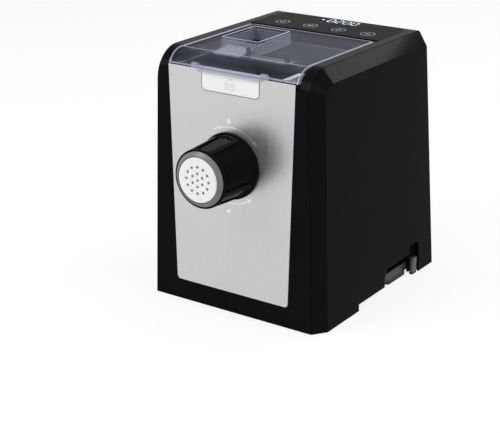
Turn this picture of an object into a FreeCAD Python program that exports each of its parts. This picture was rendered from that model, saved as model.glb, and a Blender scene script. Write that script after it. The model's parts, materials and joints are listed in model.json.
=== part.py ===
import FreeCAD, Part
import math
import os

import Sketcher

# Electric pasta maker: a black housing with a steel front, a clear lid over the mixing bowl,
# and a horizontal screw that presses dough through a disc held by a locking ring.
# X runs to the right, Y from the front to the back, Z up. Lengths are in millimetres.
# The origin lies on the floor, in the middle of the width and of the whole depth.

# Driving dimensions
SIZES = {
    # Housing
    "body_height": 300.0,
    "body_width": 241.5,
    "body_depth": 274.0,
    "housing_lift": 1.2,
    "side_lean": 1.84,
    "rear_lean": 4.46,
    "corner_set_in": 11.6,
    "corner_set_back": 16.4,
    "rear_corner_set_back": 6.0,
    "front_top_radius": 34.0,
    "rear_top_radius": 8.0,
    "wall": 2.8,
    "seam": 0.4,
    "gap": 0.3,
    "rear_cover_line": 246.0,
    # Steel front plate
    "plate_top_width": 169.0,
    "plate_bottom_width": 154.4,
    "plate_bottom": 26.0,
    "plate_top": 284.6,
    "plate_thickness": 1.2,
    "plate_proud": 0.2,
    "plate_corner": 4.5,
    # Lid and the control panel behind it
    "lid_half_width": 86.2,
    "lid_rear": 171.5,
    "lid_top": 299.7,
    "lid_wall": 2.8,
    "lid_front_radius": 25.0,
    "lid_hinge_radius": 7.2,
    "hinge_pin_radius": 2.5,
    "pin_clearance": 0.05,
    "inlet_left": -73.0,
    "inlet_right": -24.0,
    "inlet_front": 89.0,
    "inlet_rear": 154.0,
    "inlet_frame": 9.0,
    "inlet_depth": 13.0,
    "panel_half_width": 88.0,
    "panel_rear": 242.0,
    "panel_thickness": 2.6,
    "panel_corner": 20.0,
    "key_pitch": 39.5,
    "key_row": 195.0,
    "key_radius": 8.75,
    "display_half_width": 26.0,
    "display_row": 225.0,
    "tray_thickness": 3.0,
    "heel": 3.0,
    "tab_half_width": 42.0,
    "tab_reach": 4.4,
    "tab_bottom": 282.4,
    "tab_root": 1.6,
    "knuckle_length": 8.0,
    "knuckle_radius": 3.2,
    "hinge_bracket_width": 3.0,
    "inlet_wall": 2.0,
    "tray_reach": 30.0,
    "rail_left": -50.0,
    "rail_right": 34.0,
    "rail_front": 64.0,
    "rail_width": 20.0,
    "rail_drop": 15.0,
    # Release button
    "button_half_width": 38.0,
    "button_bottom": 262.0,
    "button_top": 283.6,
    "button_corner": 5.0,
    "peg_radius": 3.0,
    "flange_width": 3.0,
    "flange_thickness": 1.4,
    "peg_row": 272.0,
    "peg_rear": 9.3,
    "bracket_thickness": 3.4,
    # Screw axis, locking ring and shaping disc
    "axis_height": 180.0,
    "ring_reach": 62.3,
    "ring_flange_radius": 38.5,
    "ring_rear_radius": 37.0,
    "ring_front_radius": 33.7,
    "ring_bore_radius": 29.0,
    "ring_bevel_radius": 31.2,
    "ring_mouth_radius": 26.2,
    "flute_depth": 2.4,
    "flute_angle": 36.0,
    "flute_count": 8,
    "disc_thickness": 12.0,
    "disc_hole_radius": 1.8,
    "disc_hole_circle": 15.0,
    "disc_hole_count": 12,
    "ring_clearance": 0.6,
    "ring_flange_width": 4.0,
    "ring_front": 58.0,
    "ring_lip": 3.7,
    "insert_proud": 3.8,
    "insert_land": 1.0,
    "barrel_bore_radius": 21.6,
    "barrel_radius": 28.5,
    "barrel_front": -50.0,
    "barrel_flange_radius": 36.0,
    "barrel_neck_radius": 26.0,
    "screw_radius": 21.2,
    "screw_pitch": 27.0,
    "screw_rear": 52.0,
    "screw_core_radius": 9.0,
    "shaft_radius": 6.0,
    "shaft_rear": 206.0,
    "shaft_clearance": 0.05,
    "bush_wall": 3.0,
    # Mixing bowl and paddle
    "bowl_front": 12.0,
    "bowl_rear": 167.4,
    "bowl_radius": 78.0,
    "bowl_wall": 2.4,
    "bowl_rim": 284.2,
    "bowl_flange_half_width": 97.0,
    "paddle_radius": 74.0,
    "paddle_thickness": 7.0,
    "paddle_hub_radius": 11.0,
    "seal_radius": 14.0,
    # Drive train behind and under the bowl
    "wall_plate_front": 169.5,
    "wall_plate_thickness": 3.0,
    "gear_module": 2.0,
    "output_teeth": 54,
    "idler_small_teeth": 13,
    "idler_large_teeth": 44,
    "motor_teeth": 12,
    "gear_width": 8.0,
    "motor_radius": 36.0,
    "motor_front": 72.0,
    "motor_boss_radius": 11.0,
    "motor_shaft_radius": 3.0,
    "axle_radius": 3.0,
    "gear_room": 2.0,
    "gear_case_room": 2.0,
    "saddle_front": 26.0,
    "saddle_thickness": 4.0,
    "saddle_drop": 60.0,
    # Lower side recess, grip and feet
    "recess_front": 86.0,
    "recess_rear": 232.0,
    "recess_top": 42.5,
    "recess_bottom": 3.0,
    "recess_depth": 6.0,
    "recess_corner": 8.0,
    "grip_front": 160.0,
    "grip_rear": 218.0,
    "grip_top": 25.0,
    "floor_corner": 12.0,
    "floor_rim": 8.0,
    "floor_plate_bottom": 6.0,
    "floor_plate_thickness": 2.5,
    "front_foot_radius": 9.0,
    "front_foot_row": 34.0,
    "front_foot_column": 88.0,
    "foot_block_width": 13.0,
    "leg_width": 12.0,
    "leg_top": 21.0,
    "leg_pad": 3.0,
    "leg_inset": 0.6,
    "leg_corner": 2.4,
    # Rear cover
    "vent_bottom": 70.0,
    "vent_slot": 3.0,
    "vent_pitch": 8.0,
    "vent_rows": 9,
    "vent_inner": 6.0,
    "vent_outer": 56.0,
    "cord_hole_radius": 8.0,
    "cord_column": -70.0,
    "cord_row": 34.0,
}

doc = FreeCAD.newDocument("pasta_maker")
sheet = doc.addObject("Spreadsheet::Sheet", "sizes")
for row, (alias, value) in enumerate(SIZES.items(), start=1):
    sheet.set(f"A{row}", alias.replace("_", " "))
    sheet.set(f"B{row}", str(value))
    sheet.setAlias(f"B{row}", alias)
doc.recompute()

FINISHED = []


def size(text):
    """Put the sheet's name before each alias in an expression."""
    words = []
    word = ""
    for letter in str(text) + " ":
        if letter.isalnum() or letter == "_":
            word += letter
        else:
            words.append(f"sizes.{word}" if word in SIZES else word)
            words.append(letter)
            word = ""
    return "".join(words).strip()


def number(text):
    """The value of an expression, in millimetres, degrees or counts."""
    value = sheet.evalExpression(size(text))
    return float(getattr(value, "Value", value))


# Places worked out from the driving dimensions
FRONT_Y = "(ring_reach - body_depth) / 2"
LEAN = "tan(side_lean)"
REAR_LEAN = "tan(rear_lean)"
HALF_WIDTH = "(body_width / 2)"
SLOPE_HEIGHT = "((body_height - housing_lift) / cos(side_lean))"
FACET = "sqrt(corner_set_in ^ 2 + corner_set_back ^ 2)"
REAR_FACET = "sqrt(corner_set_in ^ 2 + rear_corner_set_back ^ 2)"
INNER_TOP = "(body_height - wall)"
PLATE_BACK = "(plate_thickness - plate_proud)"
HINGE_Y = "(lid_rear - lid_hinge_radius)"
HINGE_Z = "(lid_top - lid_hinge_radius)"
BOWL_INNER_FRONT = "(bowl_front + bowl_wall)"
BOWL_INNER_REAR = "(bowl_rear - bowl_wall)"
BOWL_OUTER = "(bowl_radius + bowl_wall)"
WALL_PLATE_REAR = "(wall_plate_front + wall_plate_thickness)"
SECOND_STAGE = "(gear_module * (output_teeth + idler_small_teeth) / 2)"
FIRST_STAGE = "(gear_module * (idler_large_teeth + motor_teeth) / 2)"
IDLER_HEIGHT = f"(axis_height - {SECOND_STAGE})"
MOTOR_HEIGHT = f"({IDLER_HEIGHT} - {FIRST_STAGE})"
FLOOR_TOP = "(floor_plate_bottom + floor_plate_thickness)"
PANEL_TOP = "(body_height - 0.2)"
TRAY_TOP = f"({PANEL_TOP} - panel_thickness)"


def half_width_at(height):
    """Half the housing's width at a height above the floor."""
    return f"({HALF_WIDTH} - ({height} - housing_lift) * {LEAN})"


def depth_at(height):
    """Where the housing's leaning rear face is at a height above the floor."""
    return f"(body_depth - ({height} - housing_lift) * {REAR_LEAN})"


class Piece:
    """A PartDesign body with short calls for sketches, pads, pockets and turned shapes."""

    def __init__(self, name):
        self.body = doc.addObject("PartDesign::Body", name)
        self.planes = {plane.Role: plane for plane in self.body.Origin.OriginFeatures}
        self.count = 0

    def label(self, kind):
        """A name for the next sketch or feature."""
        self.count += 1
        return f"{self.body.Name}_{kind}_{self.count}"

    def sketch(self, plane, start="0"):
        """An empty sketch parallel to an origin plane, a distance along the positive axis."""
        sketch = self.body.newObject("Sketcher::SketchObject", self.label("sketch"))
        sketch.AttachmentSupport = [(self.planes[plane], "")]
        sketch.MapMode = "FlatFace"
        sign = "-" if plane == "XZ_Plane" else ""
        sketch.setExpression(".AttachmentOffset.Base.z", size(f"{sign}({start})"))
        return sketch

    def outline(self, plane, corners, start="0"):
        """A closed outline with each corner bound to the sheet, and rounded where it has a radius."""
        sketch = self.sketch(plane, start)
        draw_outline(sketch, corners)
        return sketch

    def circle(self, plane, x, y, radius, start="0"):
        """One circle, with its centre and radius bound to the sheet."""
        return self.circles(plane, [(x, y)], radius, start)

    def circles(self, plane, centres, radius, start="0"):
        """Equal circles in one sketch."""
        sketch = self.sketch(plane, start)
        for x, y in centres:
            draw_circle(sketch, x, y, radius)
        return sketch

    def pad(self, sketch, length, plane):
        """Add material from the sketch towards the positive axis."""
        feature = self.body.newObject("PartDesign::Pad", self.label("pad"))
        feature.Profile = sketch
        feature.setExpression("Length", size(length))
        feature.Reversed = plane == "XZ_Plane"
        return self.made(feature, sketch)

    def pocket(self, sketch, length, plane):
        """Take material away from the sketch towards the positive axis."""
        before = self.body.Tip.Shape.Volume
        feature = self.body.newObject("PartDesign::Pocket", self.label("pocket"))
        feature.Profile = sketch
        feature.setExpression("Length", size(length))
        feature.Reversed = plane != "XZ_Plane"
        self.made(feature, sketch)
        if feature.Shape.Volume >= before:
            raise ValueError(f"{feature.Name} cuts nothing")
        return feature

    def turn(self, sketch, kind="PartDesign::Revolution", angle="360"):
        """Turn a profile about the sketch's horizontal axis."""
        feature = self.body.newObject(kind, self.label("turn"))
        feature.Profile = sketch
        feature.ReferenceAxis = (sketch, ["H_Axis"])
        feature.setExpression("Angle", size(angle))
        feature.Midplane = number(angle) < 360
        return self.made(feature, sketch)

    def around(self, features, count, axis="Y_Axis"):
        """Repeat features evenly about an origin axis."""
        pattern = self.body.newObject("PartDesign::PolarPattern", self.label("pattern"))
        pattern.Originals = features
        pattern.Axis = (self.planes[axis], [""])
        pattern.Angle = 360
        pattern.setExpression("Occurrences", size(count))
        return self.made(pattern)

    def along(self, features, count, length, axis="X_Axis", reverse=False):
        """Repeat features evenly along an origin axis."""
        pattern = self.body.newObject("PartDesign::LinearPattern", self.label("pattern"))
        pattern.Originals = features
        pattern.Direction = (self.planes[axis], [""])
        pattern.Reversed = reverse
        pattern.setExpression("Length", size(length))
        pattern.setExpression("Occurrences", size(count))
        return self.made(pattern)

    def mirrored(self, features, plane="YZ_Plane"):
        """Repeat features on the other side of an origin plane."""
        mirror = self.body.newObject("PartDesign::Mirrored", self.label("mirror"))
        mirror.Originals = features
        mirror.MirrorPlane = (self.planes[plane], [""])
        return self.made(mirror)

    def round_off(self, radius, chosen, kind="PartDesign::Fillet"):
        """Fillet or chamfer the edges for which chosen(edge) is true."""
        base = self.body.Tip
        names = [f"Edge{i}" for i, edge in enumerate(base.Shape.Edges, start=1) if chosen(edge)]
        if not names:
            raise ValueError(f"{self.body.Name}: no edge to round off")
        feature = self.body.newObject(kind, self.label("edge"))
        feature.Base = (base, names)
        name = "Radius" if kind == "PartDesign::Fillet" else "Size"
        feature.setExpression(name, size(radius))
        return self.made(feature)

    def made(self, feature, sketch=None):
        """Make a feature the body's result and check it."""
        self.body.Tip = feature
        doc.recompute()
        if feature.Shape.isNull() or not feature.Shape.isValid():
            raise ValueError(f"{feature.Name} failed")
        return feature

    def box(self, low, high, cut=False, corner=None):
        """A straight block between two corners, with its upright edges rounded if asked."""
        x0, y0, z0 = low
        x1, y1, z1 = high
        corners = rectangle(x0, y0, x1, y1, corner)
        sketch = self.outline("XY_Plane", corners, z0)
        length = f"({z1}) - ({z0})"
        return self.pocket(sketch, length, "XY_Plane") if cut else self.pad(sketch, length, "XY_Plane")

    def rod(self, plane, x, y, radius, start, end, cut=False):
        """A round bar or hole along an axis."""
        sketch = self.circle(plane, x, y, radius, start)
        length = f"({end}) - ({start})"
        return self.pocket(sketch, length, plane) if cut else self.pad(sketch, length, plane)

    def plate(self, plane, corners, start, end, cut=False):
        """An outline given thickness, or cut through, between two planes."""
        sketch = self.outline(plane, corners, start)
        length = f"({end}) - ({start})"
        return self.pocket(sketch, length, plane) if cut else self.pad(sketch, length, plane)

    def finish(self, label=None, height="0"):
        """Place the body in the part's frame and keep it as a sub-part."""
        return finish(self.body, label or self.body.Name, height)


def rectangle(x0, y0, x1, y1, corner=None):
    """Corners of an upright rectangle, anticlockwise."""
    ring = [(x0, y0), (x1, y0), (x1, y1), (x0, y1)]
    return [(x, y, corner) for x, y in ring] if corner else ring


def bind(sketch, constraint, name, text):
    """Add a named constraint and bind it to the sheet."""
    constraint_number = sketch.addConstraint(constraint)
    sketch.renameConstraint(constraint_number, name)
    sketch.setExpression(f"Constraints.{name}", size(text))


def pin_point(sketch, element, position, x, y, name):
    """Fix a point of the sketch at x, y, bound to the sheet."""
    if number(x) == 0:
        sketch.addConstraint(Sketcher.Constraint("PointOnObject", element, position, -2))
    else:
        bind(sketch, Sketcher.Constraint("DistanceX", -1, 1, element, position, number(x)), f"{name}_x", x)
    if number(y) == 0:
        sketch.addConstraint(Sketcher.Constraint("PointOnObject", element, position, -1))
    else:
        bind(sketch, Sketcher.Constraint("DistanceY", -1, 1, element, position, number(y)), f"{name}_y", y)


def draw_circle(sketch, x, y, radius):
    """Add a circle with a bound centre and radius."""
    centre = FreeCAD.Vector(number(x), number(y), 0)
    name = f"circle{sketch.GeometryCount}"
    element = sketch.addGeometry(Part.Circle(centre, FreeCAD.Vector(0, 0, 1), number(radius)), False)
    pin_point(sketch, element, 3, x, y, name)
    bind(sketch, Sketcher.Constraint("Radius", element, number(radius)), f"{name}_radius", radius)


def draw_outline(sketch, corners):
    """Add a closed outline. A corner is (x, y) or (x, y, radius), each an expression."""
    points = [FreeCAD.Vector(number(corner[0]), number(corner[1]), 0) for corner in corners]
    radii = [corner[2] if len(corner) > 2 else None for corner in corners]
    total = len(points)
    cut = []
    for i, point in enumerate(points):
        if radii[i] is None:
            cut.append(0.0)
            continue
        back = (points[i - 1] - point).normalize()
        ahead = (points[(i + 1) % total] - point).normalize()
        cut.append(number(radii[i]) / math.tan(back.getAngle(ahead) / 2))
    first = sketch.GeometryCount
    sides = []
    for i, point in enumerate(points):
        following = points[(i + 1) % total]
        direction = (following - point).normalize()
        start = point + direction * cut[i]
        end = following - direction * cut[(i + 1) % total]
        sides.append(sketch.addGeometry(Part.LineSegment(start, end), False))
    for i, point in enumerate(points):
        before = sides[i - 1]
        after = sides[i]
        name = f"corner{first + i}"
        if radii[i] is None:
            sketch.addConstraint(Sketcher.Constraint("Coincident", before, 2, after, 1))
            pin_point(sketch, after, 1, corners[i][0], corners[i][1], name)
            continue
        helper = sketch.addGeometry(Part.Point(point), True)
        pin_point(sketch, helper, 1, corners[i][0], corners[i][1], name)
        sketch.addConstraint(Sketcher.Constraint("PointOnObject", helper, 1, before))
        sketch.addConstraint(Sketcher.Constraint("PointOnObject", helper, 1, after))
        back = (points[i - 1] - point).normalize()
        ahead = (points[(i + 1) % total] - point).normalize()
        start = point + back * cut[i]
        end = point + ahead * cut[i]
        inward = (back + ahead).normalize()
        reach = math.hypot(cut[i], number(radii[i]))
        centre = point + inward * reach
        middle = centre - inward * number(radii[i])
        arc = Part.Arc(start, middle, end)
        round_corner = sketch.addGeometry(arc, False)
        drawn = sketch.Geometry[round_corner]
        starts_here = drawn.StartPoint.distanceToPoint(start) < drawn.EndPoint.distanceToPoint(start)
        near, far = (1, 2) if starts_here else (2, 1)
        sketch.addConstraint(Sketcher.Constraint("Tangent", before, 2, round_corner, near))
        sketch.addConstraint(Sketcher.Constraint("Tangent", after, 1, round_corner, far))
        bind(sketch, Sketcher.Constraint("Radius", round_corner, number(radii[i])), f"{name}_radius", radii[i])


def finish(item, label, height="0"):
    """Place a finished shape in the part's frame and keep it under its own name."""
    item.Label = label
    item.setExpression(".Placement.Base.y", size(FRONT_Y))
    if number(height):
        item.setExpression(".Placement.Base.z", size(height))
    FINISHED.append(item)
    return item


def combine(kind, name, base, tool):
    """A Part boolean of two shapes."""
    item = doc.addObject(f"Part::{kind}", name)
    item.Base = base
    item.Tool = tool
    doc.recompute()
    if item.Shape.isNull() or not item.Shape.isValid() or not item.Shape.Solids:
        raise ValueError(f"{name} failed")
    return item


# Housing: one leaning outline, hollowed and parted into front, sides and rear

def rear_at(distance):
    """Where the rear face is, a distance up the leaning side plane."""
    return f"(body_depth - ({distance}) * cos(side_lean) * {REAR_LEAN})"


def flat_outline(inset, bottom):
    """Side outline of the front, top and rear faces, set in by a wall."""
    top = f"({SLOPE_HEIGHT} - {inset})"
    return [
        (inset, bottom),
        (f"{rear_at(bottom)} - {inset}", bottom),
        (f"{rear_at(SLOPE_HEIGHT)} - {inset}", top, f"rear_top_radius - {inset}"),
        (inset, top, f"front_top_radius - {inset}"),
    ]


def facet_outline(inset, bottom):
    """Side outline of the flat side face, inside the facet that runs round it."""
    front = f"(corner_set_back + {inset} * ({FACET} - corner_set_back) / corner_set_in)"
    rear = f"(rear_corner_set_back + {inset} * ({REAR_FACET} - rear_corner_set_back) / corner_set_in)"
    top = f"({SLOPE_HEIGHT} - {front})"
    return [
        (front, bottom),
        (f"{rear_at(bottom)} - {rear}", bottom),
        (f"{rear_at(SLOPE_HEIGHT)} - {rear}", top, f"rear_top_radius - {rear}"),
        (front, top, f"front_top_radius - {front}"),
    ]


def leaning_sketch(piece, side, set_in, corners):
    """An outline on a plane parallel to the left (-1) or right (1) side of the housing."""
    sketch = piece.body.newObject("Sketcher::SketchObject", piece.label("sketch"))
    sketch.AttachmentSupport = [(piece.planes["YZ_Plane"], "")]
    sketch.MapMode = "FlatFace"
    turn = FreeCAD.Rotation(FreeCAD.Vector(-side, 0, 0), number("side_lean"))
    sketch.AttachmentOffset = FreeCAD.Placement(FreeCAD.Vector(), turn)
    sketch.setExpression(".AttachmentOffset.Base.y", size("housing_lift"))
    sketch.setExpression(".AttachmentOffset.Base.z", size(f"{side} * ({HALF_WIDTH} - ({set_in}))"))
    sketch.setExpression(".AttachmentOffset.Rotation.Angle", size("side_lean"))
    draw_outline(sketch, corners)
    return sketch


def housing_loft(name, inset, bottom):
    """The housing's outer form, or its hollow when it is set in by the wall."""
    piece = Piece(name)
    shoulder = f"corner_set_in + {inset} * ({FACET} - corner_set_in) / corner_set_back"
    sections = [
        leaning_sketch(piece, -1, inset, facet_outline(inset, bottom)),
        leaning_sketch(piece, -1, shoulder, flat_outline(inset, bottom)),
        leaning_sketch(piece, 1, shoulder, flat_outline(inset, bottom)),
        leaning_sketch(piece, 1, inset, facet_outline(inset, bottom)),
    ]
    loft = piece.body.newObject("PartDesign::AdditiveLoft", f"{name}_loft")
    loft.Profile = sections[0]
    loft.Sections = sections[1:]
    loft.Ruled = True
    piece.made(loft)
    return piece


def zone(name, edge, front, rear):
    """Space between the two seam planes, or outside one of them, from front to rear."""
    low = "-5"
    high = "body_height + 5"
    piece = Piece(name)
    corners = [(edge(low, -1), low), (edge(low, 1), low), (edge(high, 1), high), (edge(high, -1), high)]
    piece.plate("XZ_Plane", corners, front, rear)
    return piece


def seam_at(height, side, outward):
    """The seam between the fascia and a side panel, at a height."""
    return f"{side} * ({half_width_at(height)} - corner_set_in + {outward} * seam / 2)"


def middle_edge(height, side):
    """Edges of the middle zone."""
    return seam_at(height, side, -1)


def right_edge(height, side):
    """Edges of the zone outside the right seam."""
    return "body_width" if side > 0 else seam_at(height, 1, 1)


def left_edge(height, side):
    """Edges of the zone outside the left seam."""
    return "-body_width" if side < 0 else seam_at(height, -1, 1)


form = housing_loft("housing_form", "0", "0")
hollow = housing_loft("housing_hollow", "wall", "-6")
shell = combine("Cut", "housing_shell", form.body, hollow.body)


def lid_and_panel_opening(piece):
    """Cut-out in the top of the fascia for the lid and, behind it, the control panel."""
    lid_edge = "lid_half_width + gap"
    piece.box((f"-({lid_edge})", "-20", "plate_top"), (lid_edge, "lid_rear + seam", "body_height + 5"))
    edge = "panel_half_width + gap"
    corners = [
        (f"-({edge})", "lid_rear - 5"),
        (edge, "lid_rear - 5"),
        (edge, "panel_rear + gap", "panel_corner + gap"),
        (f"-({edge})", "panel_rear + gap", "panel_corner + gap"),
    ]
    piece.plate("XY_Plane", corners, f"{TRAY_TOP} - wall", "body_height + 5")


def plate_corners(margin):
    """Outline of the steel plate, grown by a margin."""
    return [
        (f"-plate_bottom_width / 2 - {margin}", f"plate_bottom - {margin}", "plate_corner"),
        (f"plate_bottom_width / 2 + {margin}", f"plate_bottom - {margin}", "plate_corner"),
        (f"plate_top_width / 2 + {margin}", "plate_top"),
        (f"-plate_top_width / 2 - {margin}", "plate_top"),
    ]


def button_corners(margin, top):
    """Outline of the release button, grown by a margin."""
    half = f"(button_half_width + {margin})"
    low = f"button_bottom - {margin}"
    return [(f"-{half}", low, "button_corner"), (half, low, "button_corner"), (half, top), (f"-{half}", top)]


def make_fascia():
    """Front wall, cheek strips and top strips: one glossy moulding."""
    front = zone("fascia_zone", middle_edge, "-5", "rear_cover_line - seam / 2")
    blank = combine("Common", "fascia_blank", shell, front.body)
    cutter = Piece("fascia_cutter")
    cutter.plate("XZ_Plane", plate_corners("gap / 2"), "-20", PLATE_BACK)
    lid_and_panel_opening(cutter)
    cutter.rod("XZ_Plane", "0", "axis_height", "barrel_radius + 2", "-20", "wall + 5")
    reach = "(button_half_width + flange_width + 1)"
    hole = rectangle(f"-{reach}", "button_bottom - flange_width - 1", reach, "plate_top + 2")
    cutter.plate("XZ_Plane", hole, "-20", "wall + 6")
    finish(combine("Cut", "fascia", blank, cutter.body), "front_fascia")


def make_front_plate():
    """Brushed steel plate, let into the fascia, with holes for the barrel and the button."""
    piece = Piece("front_plate")
    piece.plate("XZ_Plane", plate_corners("0"), "-plate_proud", PLATE_BACK)
    piece.rod("XZ_Plane", "0", "axis_height", "barrel_radius + 2", "-5", "5", cut=True)
    piece.plate("XZ_Plane", button_corners("seam", "plate_top + 2"), "-5", "5", cut=True)
    piece.finish()


def recess_corners(margin):
    """Outline of the side recess seen from the side, grown by a margin."""
    top = f"recess_top + {margin}"
    return [
        (f"recess_front - {margin}", "-5"),
        (f"recess_rear + {margin}", "-5"),
        (f"recess_rear + {margin}", top, "recess_corner"),
        (f"recess_front - {margin}", top, "recess_corner"),
    ]


def make_side_panel(side, label, edge):
    """Side shell with its facets, a long low recess and the grip opening in it."""
    outside = zone(f"{label}_zone", edge, "-5", "body_depth + 5")
    panel = combine("Common", f"{label}_panel", shell, outside.body)
    recess_wall = f"({half_width_at('recess_top')} - recess_depth)"
    start = f"{recess_wall} - wall" if side > 0 else "-body_width"
    end = "body_width" if side > 0 else f"-({recess_wall} - wall)"
    block = Piece(f"{label}_recess_block")
    block.plate("YZ_Plane", recess_corners("wall"), start, end)
    block.box(("-2 * body_width", "-5", "-20"), ("2 * body_width", "body_depth", "recess_bottom"), cut=True)
    backing = combine("Common", f"{label}_recess_backing", block.body, form.body)
    backed = combine("Fuse", f"{label}_backed_panel", panel, backing)
    start = recess_wall if side > 0 else "-body_width"
    end = "body_width" if side > 0 else f"-{recess_wall}"
    cutter = Piece(f"{label}_recess_cutter")
    cutter.plate("YZ_Plane", recess_corners("0"), start, end)
    inner = f"{recess_wall} - wall - 5"
    x0 = inner if side > 0 else f"-{recess_wall} - 1"
    x1 = f"{recess_wall} + 1" if side > 0 else f"-({inner})"
    cutter.box((x0, "grip_front", "-5"), (x1, "grip_rear", "grip_top"))
    finish(combine("Cut", f"{label}_side", backed, cutter.body), f"{label}_side_panel")


def make_rear_cover():
    """Rear wall with air slots and the round hole for the cord bush."""
    back = zone("rear_zone", middle_edge, "rear_cover_line + seam / 2", "body_depth + 5")
    blank = combine("Common", "rear_blank", shell, back.body)
    cutter = Piece("rear_cutter")
    cutter.body.AllowCompound = True
    start = f"{depth_at('body_height')} - wall - 5"
    end = "body_depth + 5"
    top = "vent_bottom + vent_slot"
    corners = rectangle("vent_inner", "vent_bottom", "vent_outer", top)
    slot = cutter.plate("XZ_Plane", corners, start, end)
    corners = rectangle("-vent_outer", "vent_bottom", "-vent_inner", top)
    other_slot = cutter.plate("XZ_Plane", corners, start, end)
    hole = cutter.rod("XZ_Plane", "cord_column", "cord_row", "cord_hole_radius", start, end)
    cutter.along([slot, other_slot], "vent_rows", "vent_pitch * (vent_rows - 1)", axis="Z_Axis")
    finish(combine("Cut", "rear_panel", blank, cutter.body), "rear_cover")


make_fascia()
make_front_plate()
make_side_panel(-1, "left", left_edge)
make_side_panel(1, "right", right_edge)
make_rear_cover()


# Floor plate, feet and the frame inside
def make_floor_plate():
    """Bottom cover inside the housing's lower edge, with a rib round it."""
    piece = Piece("floor_plate")
    half = f"({half_width_at('recess_top')} - recess_depth - wall - gap)"
    front = "wall + gap"
    rear = "body_depth - wall - gap - 3"
    corners = rectangle(f"-({half})", front, half, rear, "floor_corner")
    piece.plate("XY_Plane", corners, "floor_plate_bottom", FLOOR_TOP)
    piece.plate("XY_Plane", corners, FLOOR_TOP, f"{FLOOR_TOP} + floor_rim")
    inner = rectangle(f"-({half}) + 2", f"{front} + 2", f"{half} - 2", f"{rear} - 2", "floor_corner - 2")
    piece.plate("XY_Plane", inner, FLOOR_TOP, f"{FLOOR_TOP} + floor_rim + 1", cut=True)
    piece.finish()


def make_feet():
    """Two round rubber feet in front, two long rubber blocks and two padded legs at the grips."""
    for side, name in ((-1, "left"), (1, "right")):
        foot = Piece(f"front_foot_{name}")
        foot.rod("XY_Plane", f"{side} * front_foot_column", "front_foot_row", "front_foot_radius", "0", "floor_plate_bottom")
        foot.round_off("1", lambda edge: edge.BoundBox.ZMax < 1, "PartDesign::Chamfer")
        foot.finish()
        outer = f"({half_width_at('recess_top')} - recess_depth - wall - gap)"
        block = Piece(f"rear_foot_{name}")
        x0 = f"{outer} - foot_block_width" if side > 0 else f"-{outer}"
        x1 = outer if side > 0 else f"-{outer} + foot_block_width"
        block.box((x0, "grip_front + 14", "0"), (x1, "grip_rear - 1", "floor_plate_bottom"), corner="3")
        block.finish()
        wall_face = f"({half_width_at('recess_top')} - recess_depth)"
        reach = f"({wall_face} + recess_depth - leg_inset)"
        x0, x1 = (wall_face, reach) if side > 0 else (f"-{reach}", f"-{wall_face}")
        low = "recess_rear - leg_width - leg_inset"
        high = "recess_rear - leg_inset"
        leg = Piece(f"side_leg_{name}")
        leg.box((x0, low, "leg_pad"), (x1, high, "leg_top"), corner="leg_corner")
        leg.finish()
        pad = Piece(f"leg_pad_{name}")
        pad.box((x0, low, "0"), (x1, high, "leg_pad"), corner="leg_corner")
        pad.finish()


def make_wall_plate():
    """Upright bulkhead behind the bowl: it carries the gearbox, the motor and the shaft seal."""
    piece = Piece("bulkhead")
    half = f"({half_width_at('bowl_rim')} - wall - 3)"
    foot = f"({half_width_at('recess_top')} - recess_depth - wall - gap - 2.5)"
    corners = [
        (f"-{foot}", f"{FLOOR_TOP}"),
        (foot, f"{FLOOR_TOP}"),
        (half, "bowl_rim", "6"),
        (f"-{half}", "bowl_rim", "6"),
    ]
    piece.plate("XZ_Plane", corners, "wall_plate_front", WALL_PLATE_REAR)
    piece.rod("XZ_Plane", "0", "axis_height", "seal_radius", "wall_plate_front - 1", f"{WALL_PLATE_REAR} + 1", cut=True)
    piece.rod("XZ_Plane", "0", MOTOR_HEIGHT, "motor_boss_radius + gap", "wall_plate_front - 1",
              f"{WALL_PLATE_REAR} + 1", cut=True)
    piece.finish()


def make_saddle():
    """Arched front support for the bowl, standing astride the motor."""
    piece = Piece("bowl_saddle")
    half = "(bowl_radius + 8)"
    corners = rectangle(f"-{half}", FLOOR_TOP, half, "axis_height - saddle_drop", "4")
    piece.plate("XZ_Plane", corners, "saddle_front", "saddle_front + saddle_thickness")
    end = "saddle_front + saddle_thickness + 1"
    piece.rod("XZ_Plane", "0", "axis_height", f"{BOWL_OUTER}", "saddle_front - 1", end, cut=True)
    arch = rectangle("-motor_radius - 5", f"{FLOOR_TOP} - 5", "motor_radius + 5", f"{MOTOR_HEIGHT} + 15", "12")
    piece.plate("XZ_Plane", arch, "saddle_front - 1", end, cut=True)
    piece.finish()


# Mixing bowl, barrel and seal
def make_bowl():
    """Trough with a round bottom about the screw, straight sides and a flange at the top."""
    piece = Piece("mixing_bowl")
    piece.rod("XZ_Plane", "0", "axis_height", BOWL_OUTER, "bowl_front", "bowl_rear")
    corners = rectangle(f"-{BOWL_OUTER}", "axis_height", BOWL_OUTER, "bowl_rim")
    piece.plate("XZ_Plane", corners, "bowl_front", "bowl_rear")
    flange = rectangle("-bowl_flange_half_width", "bowl_front - 3", "bowl_flange_half_width", "bowl_rear + 1", "6")
    piece.plate("XY_Plane", flange, "bowl_rim - bowl_wall", "bowl_rim")
    piece.rod("XZ_Plane", "0", "axis_height", "bowl_radius", BOWL_INNER_FRONT, BOWL_INNER_REAR, cut=True)
    inner = rectangle("-bowl_radius", "axis_height", "bowl_radius", "bowl_rim + 5")
    piece.plate("XZ_Plane", inner, BOWL_INNER_FRONT, BOWL_INNER_REAR, cut=True)
    piece.rod("XZ_Plane", "0", "axis_height", "barrel_neck_radius", "bowl_front - 1", f"{BOWL_INNER_FRONT} + 1", cut=True)
    piece.rod("XZ_Plane", "0", "axis_height", "seal_radius", f"{BOWL_INNER_REAR} - 1", "bowl_rear + 1", cut=True)
    piece.finish()


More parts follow.
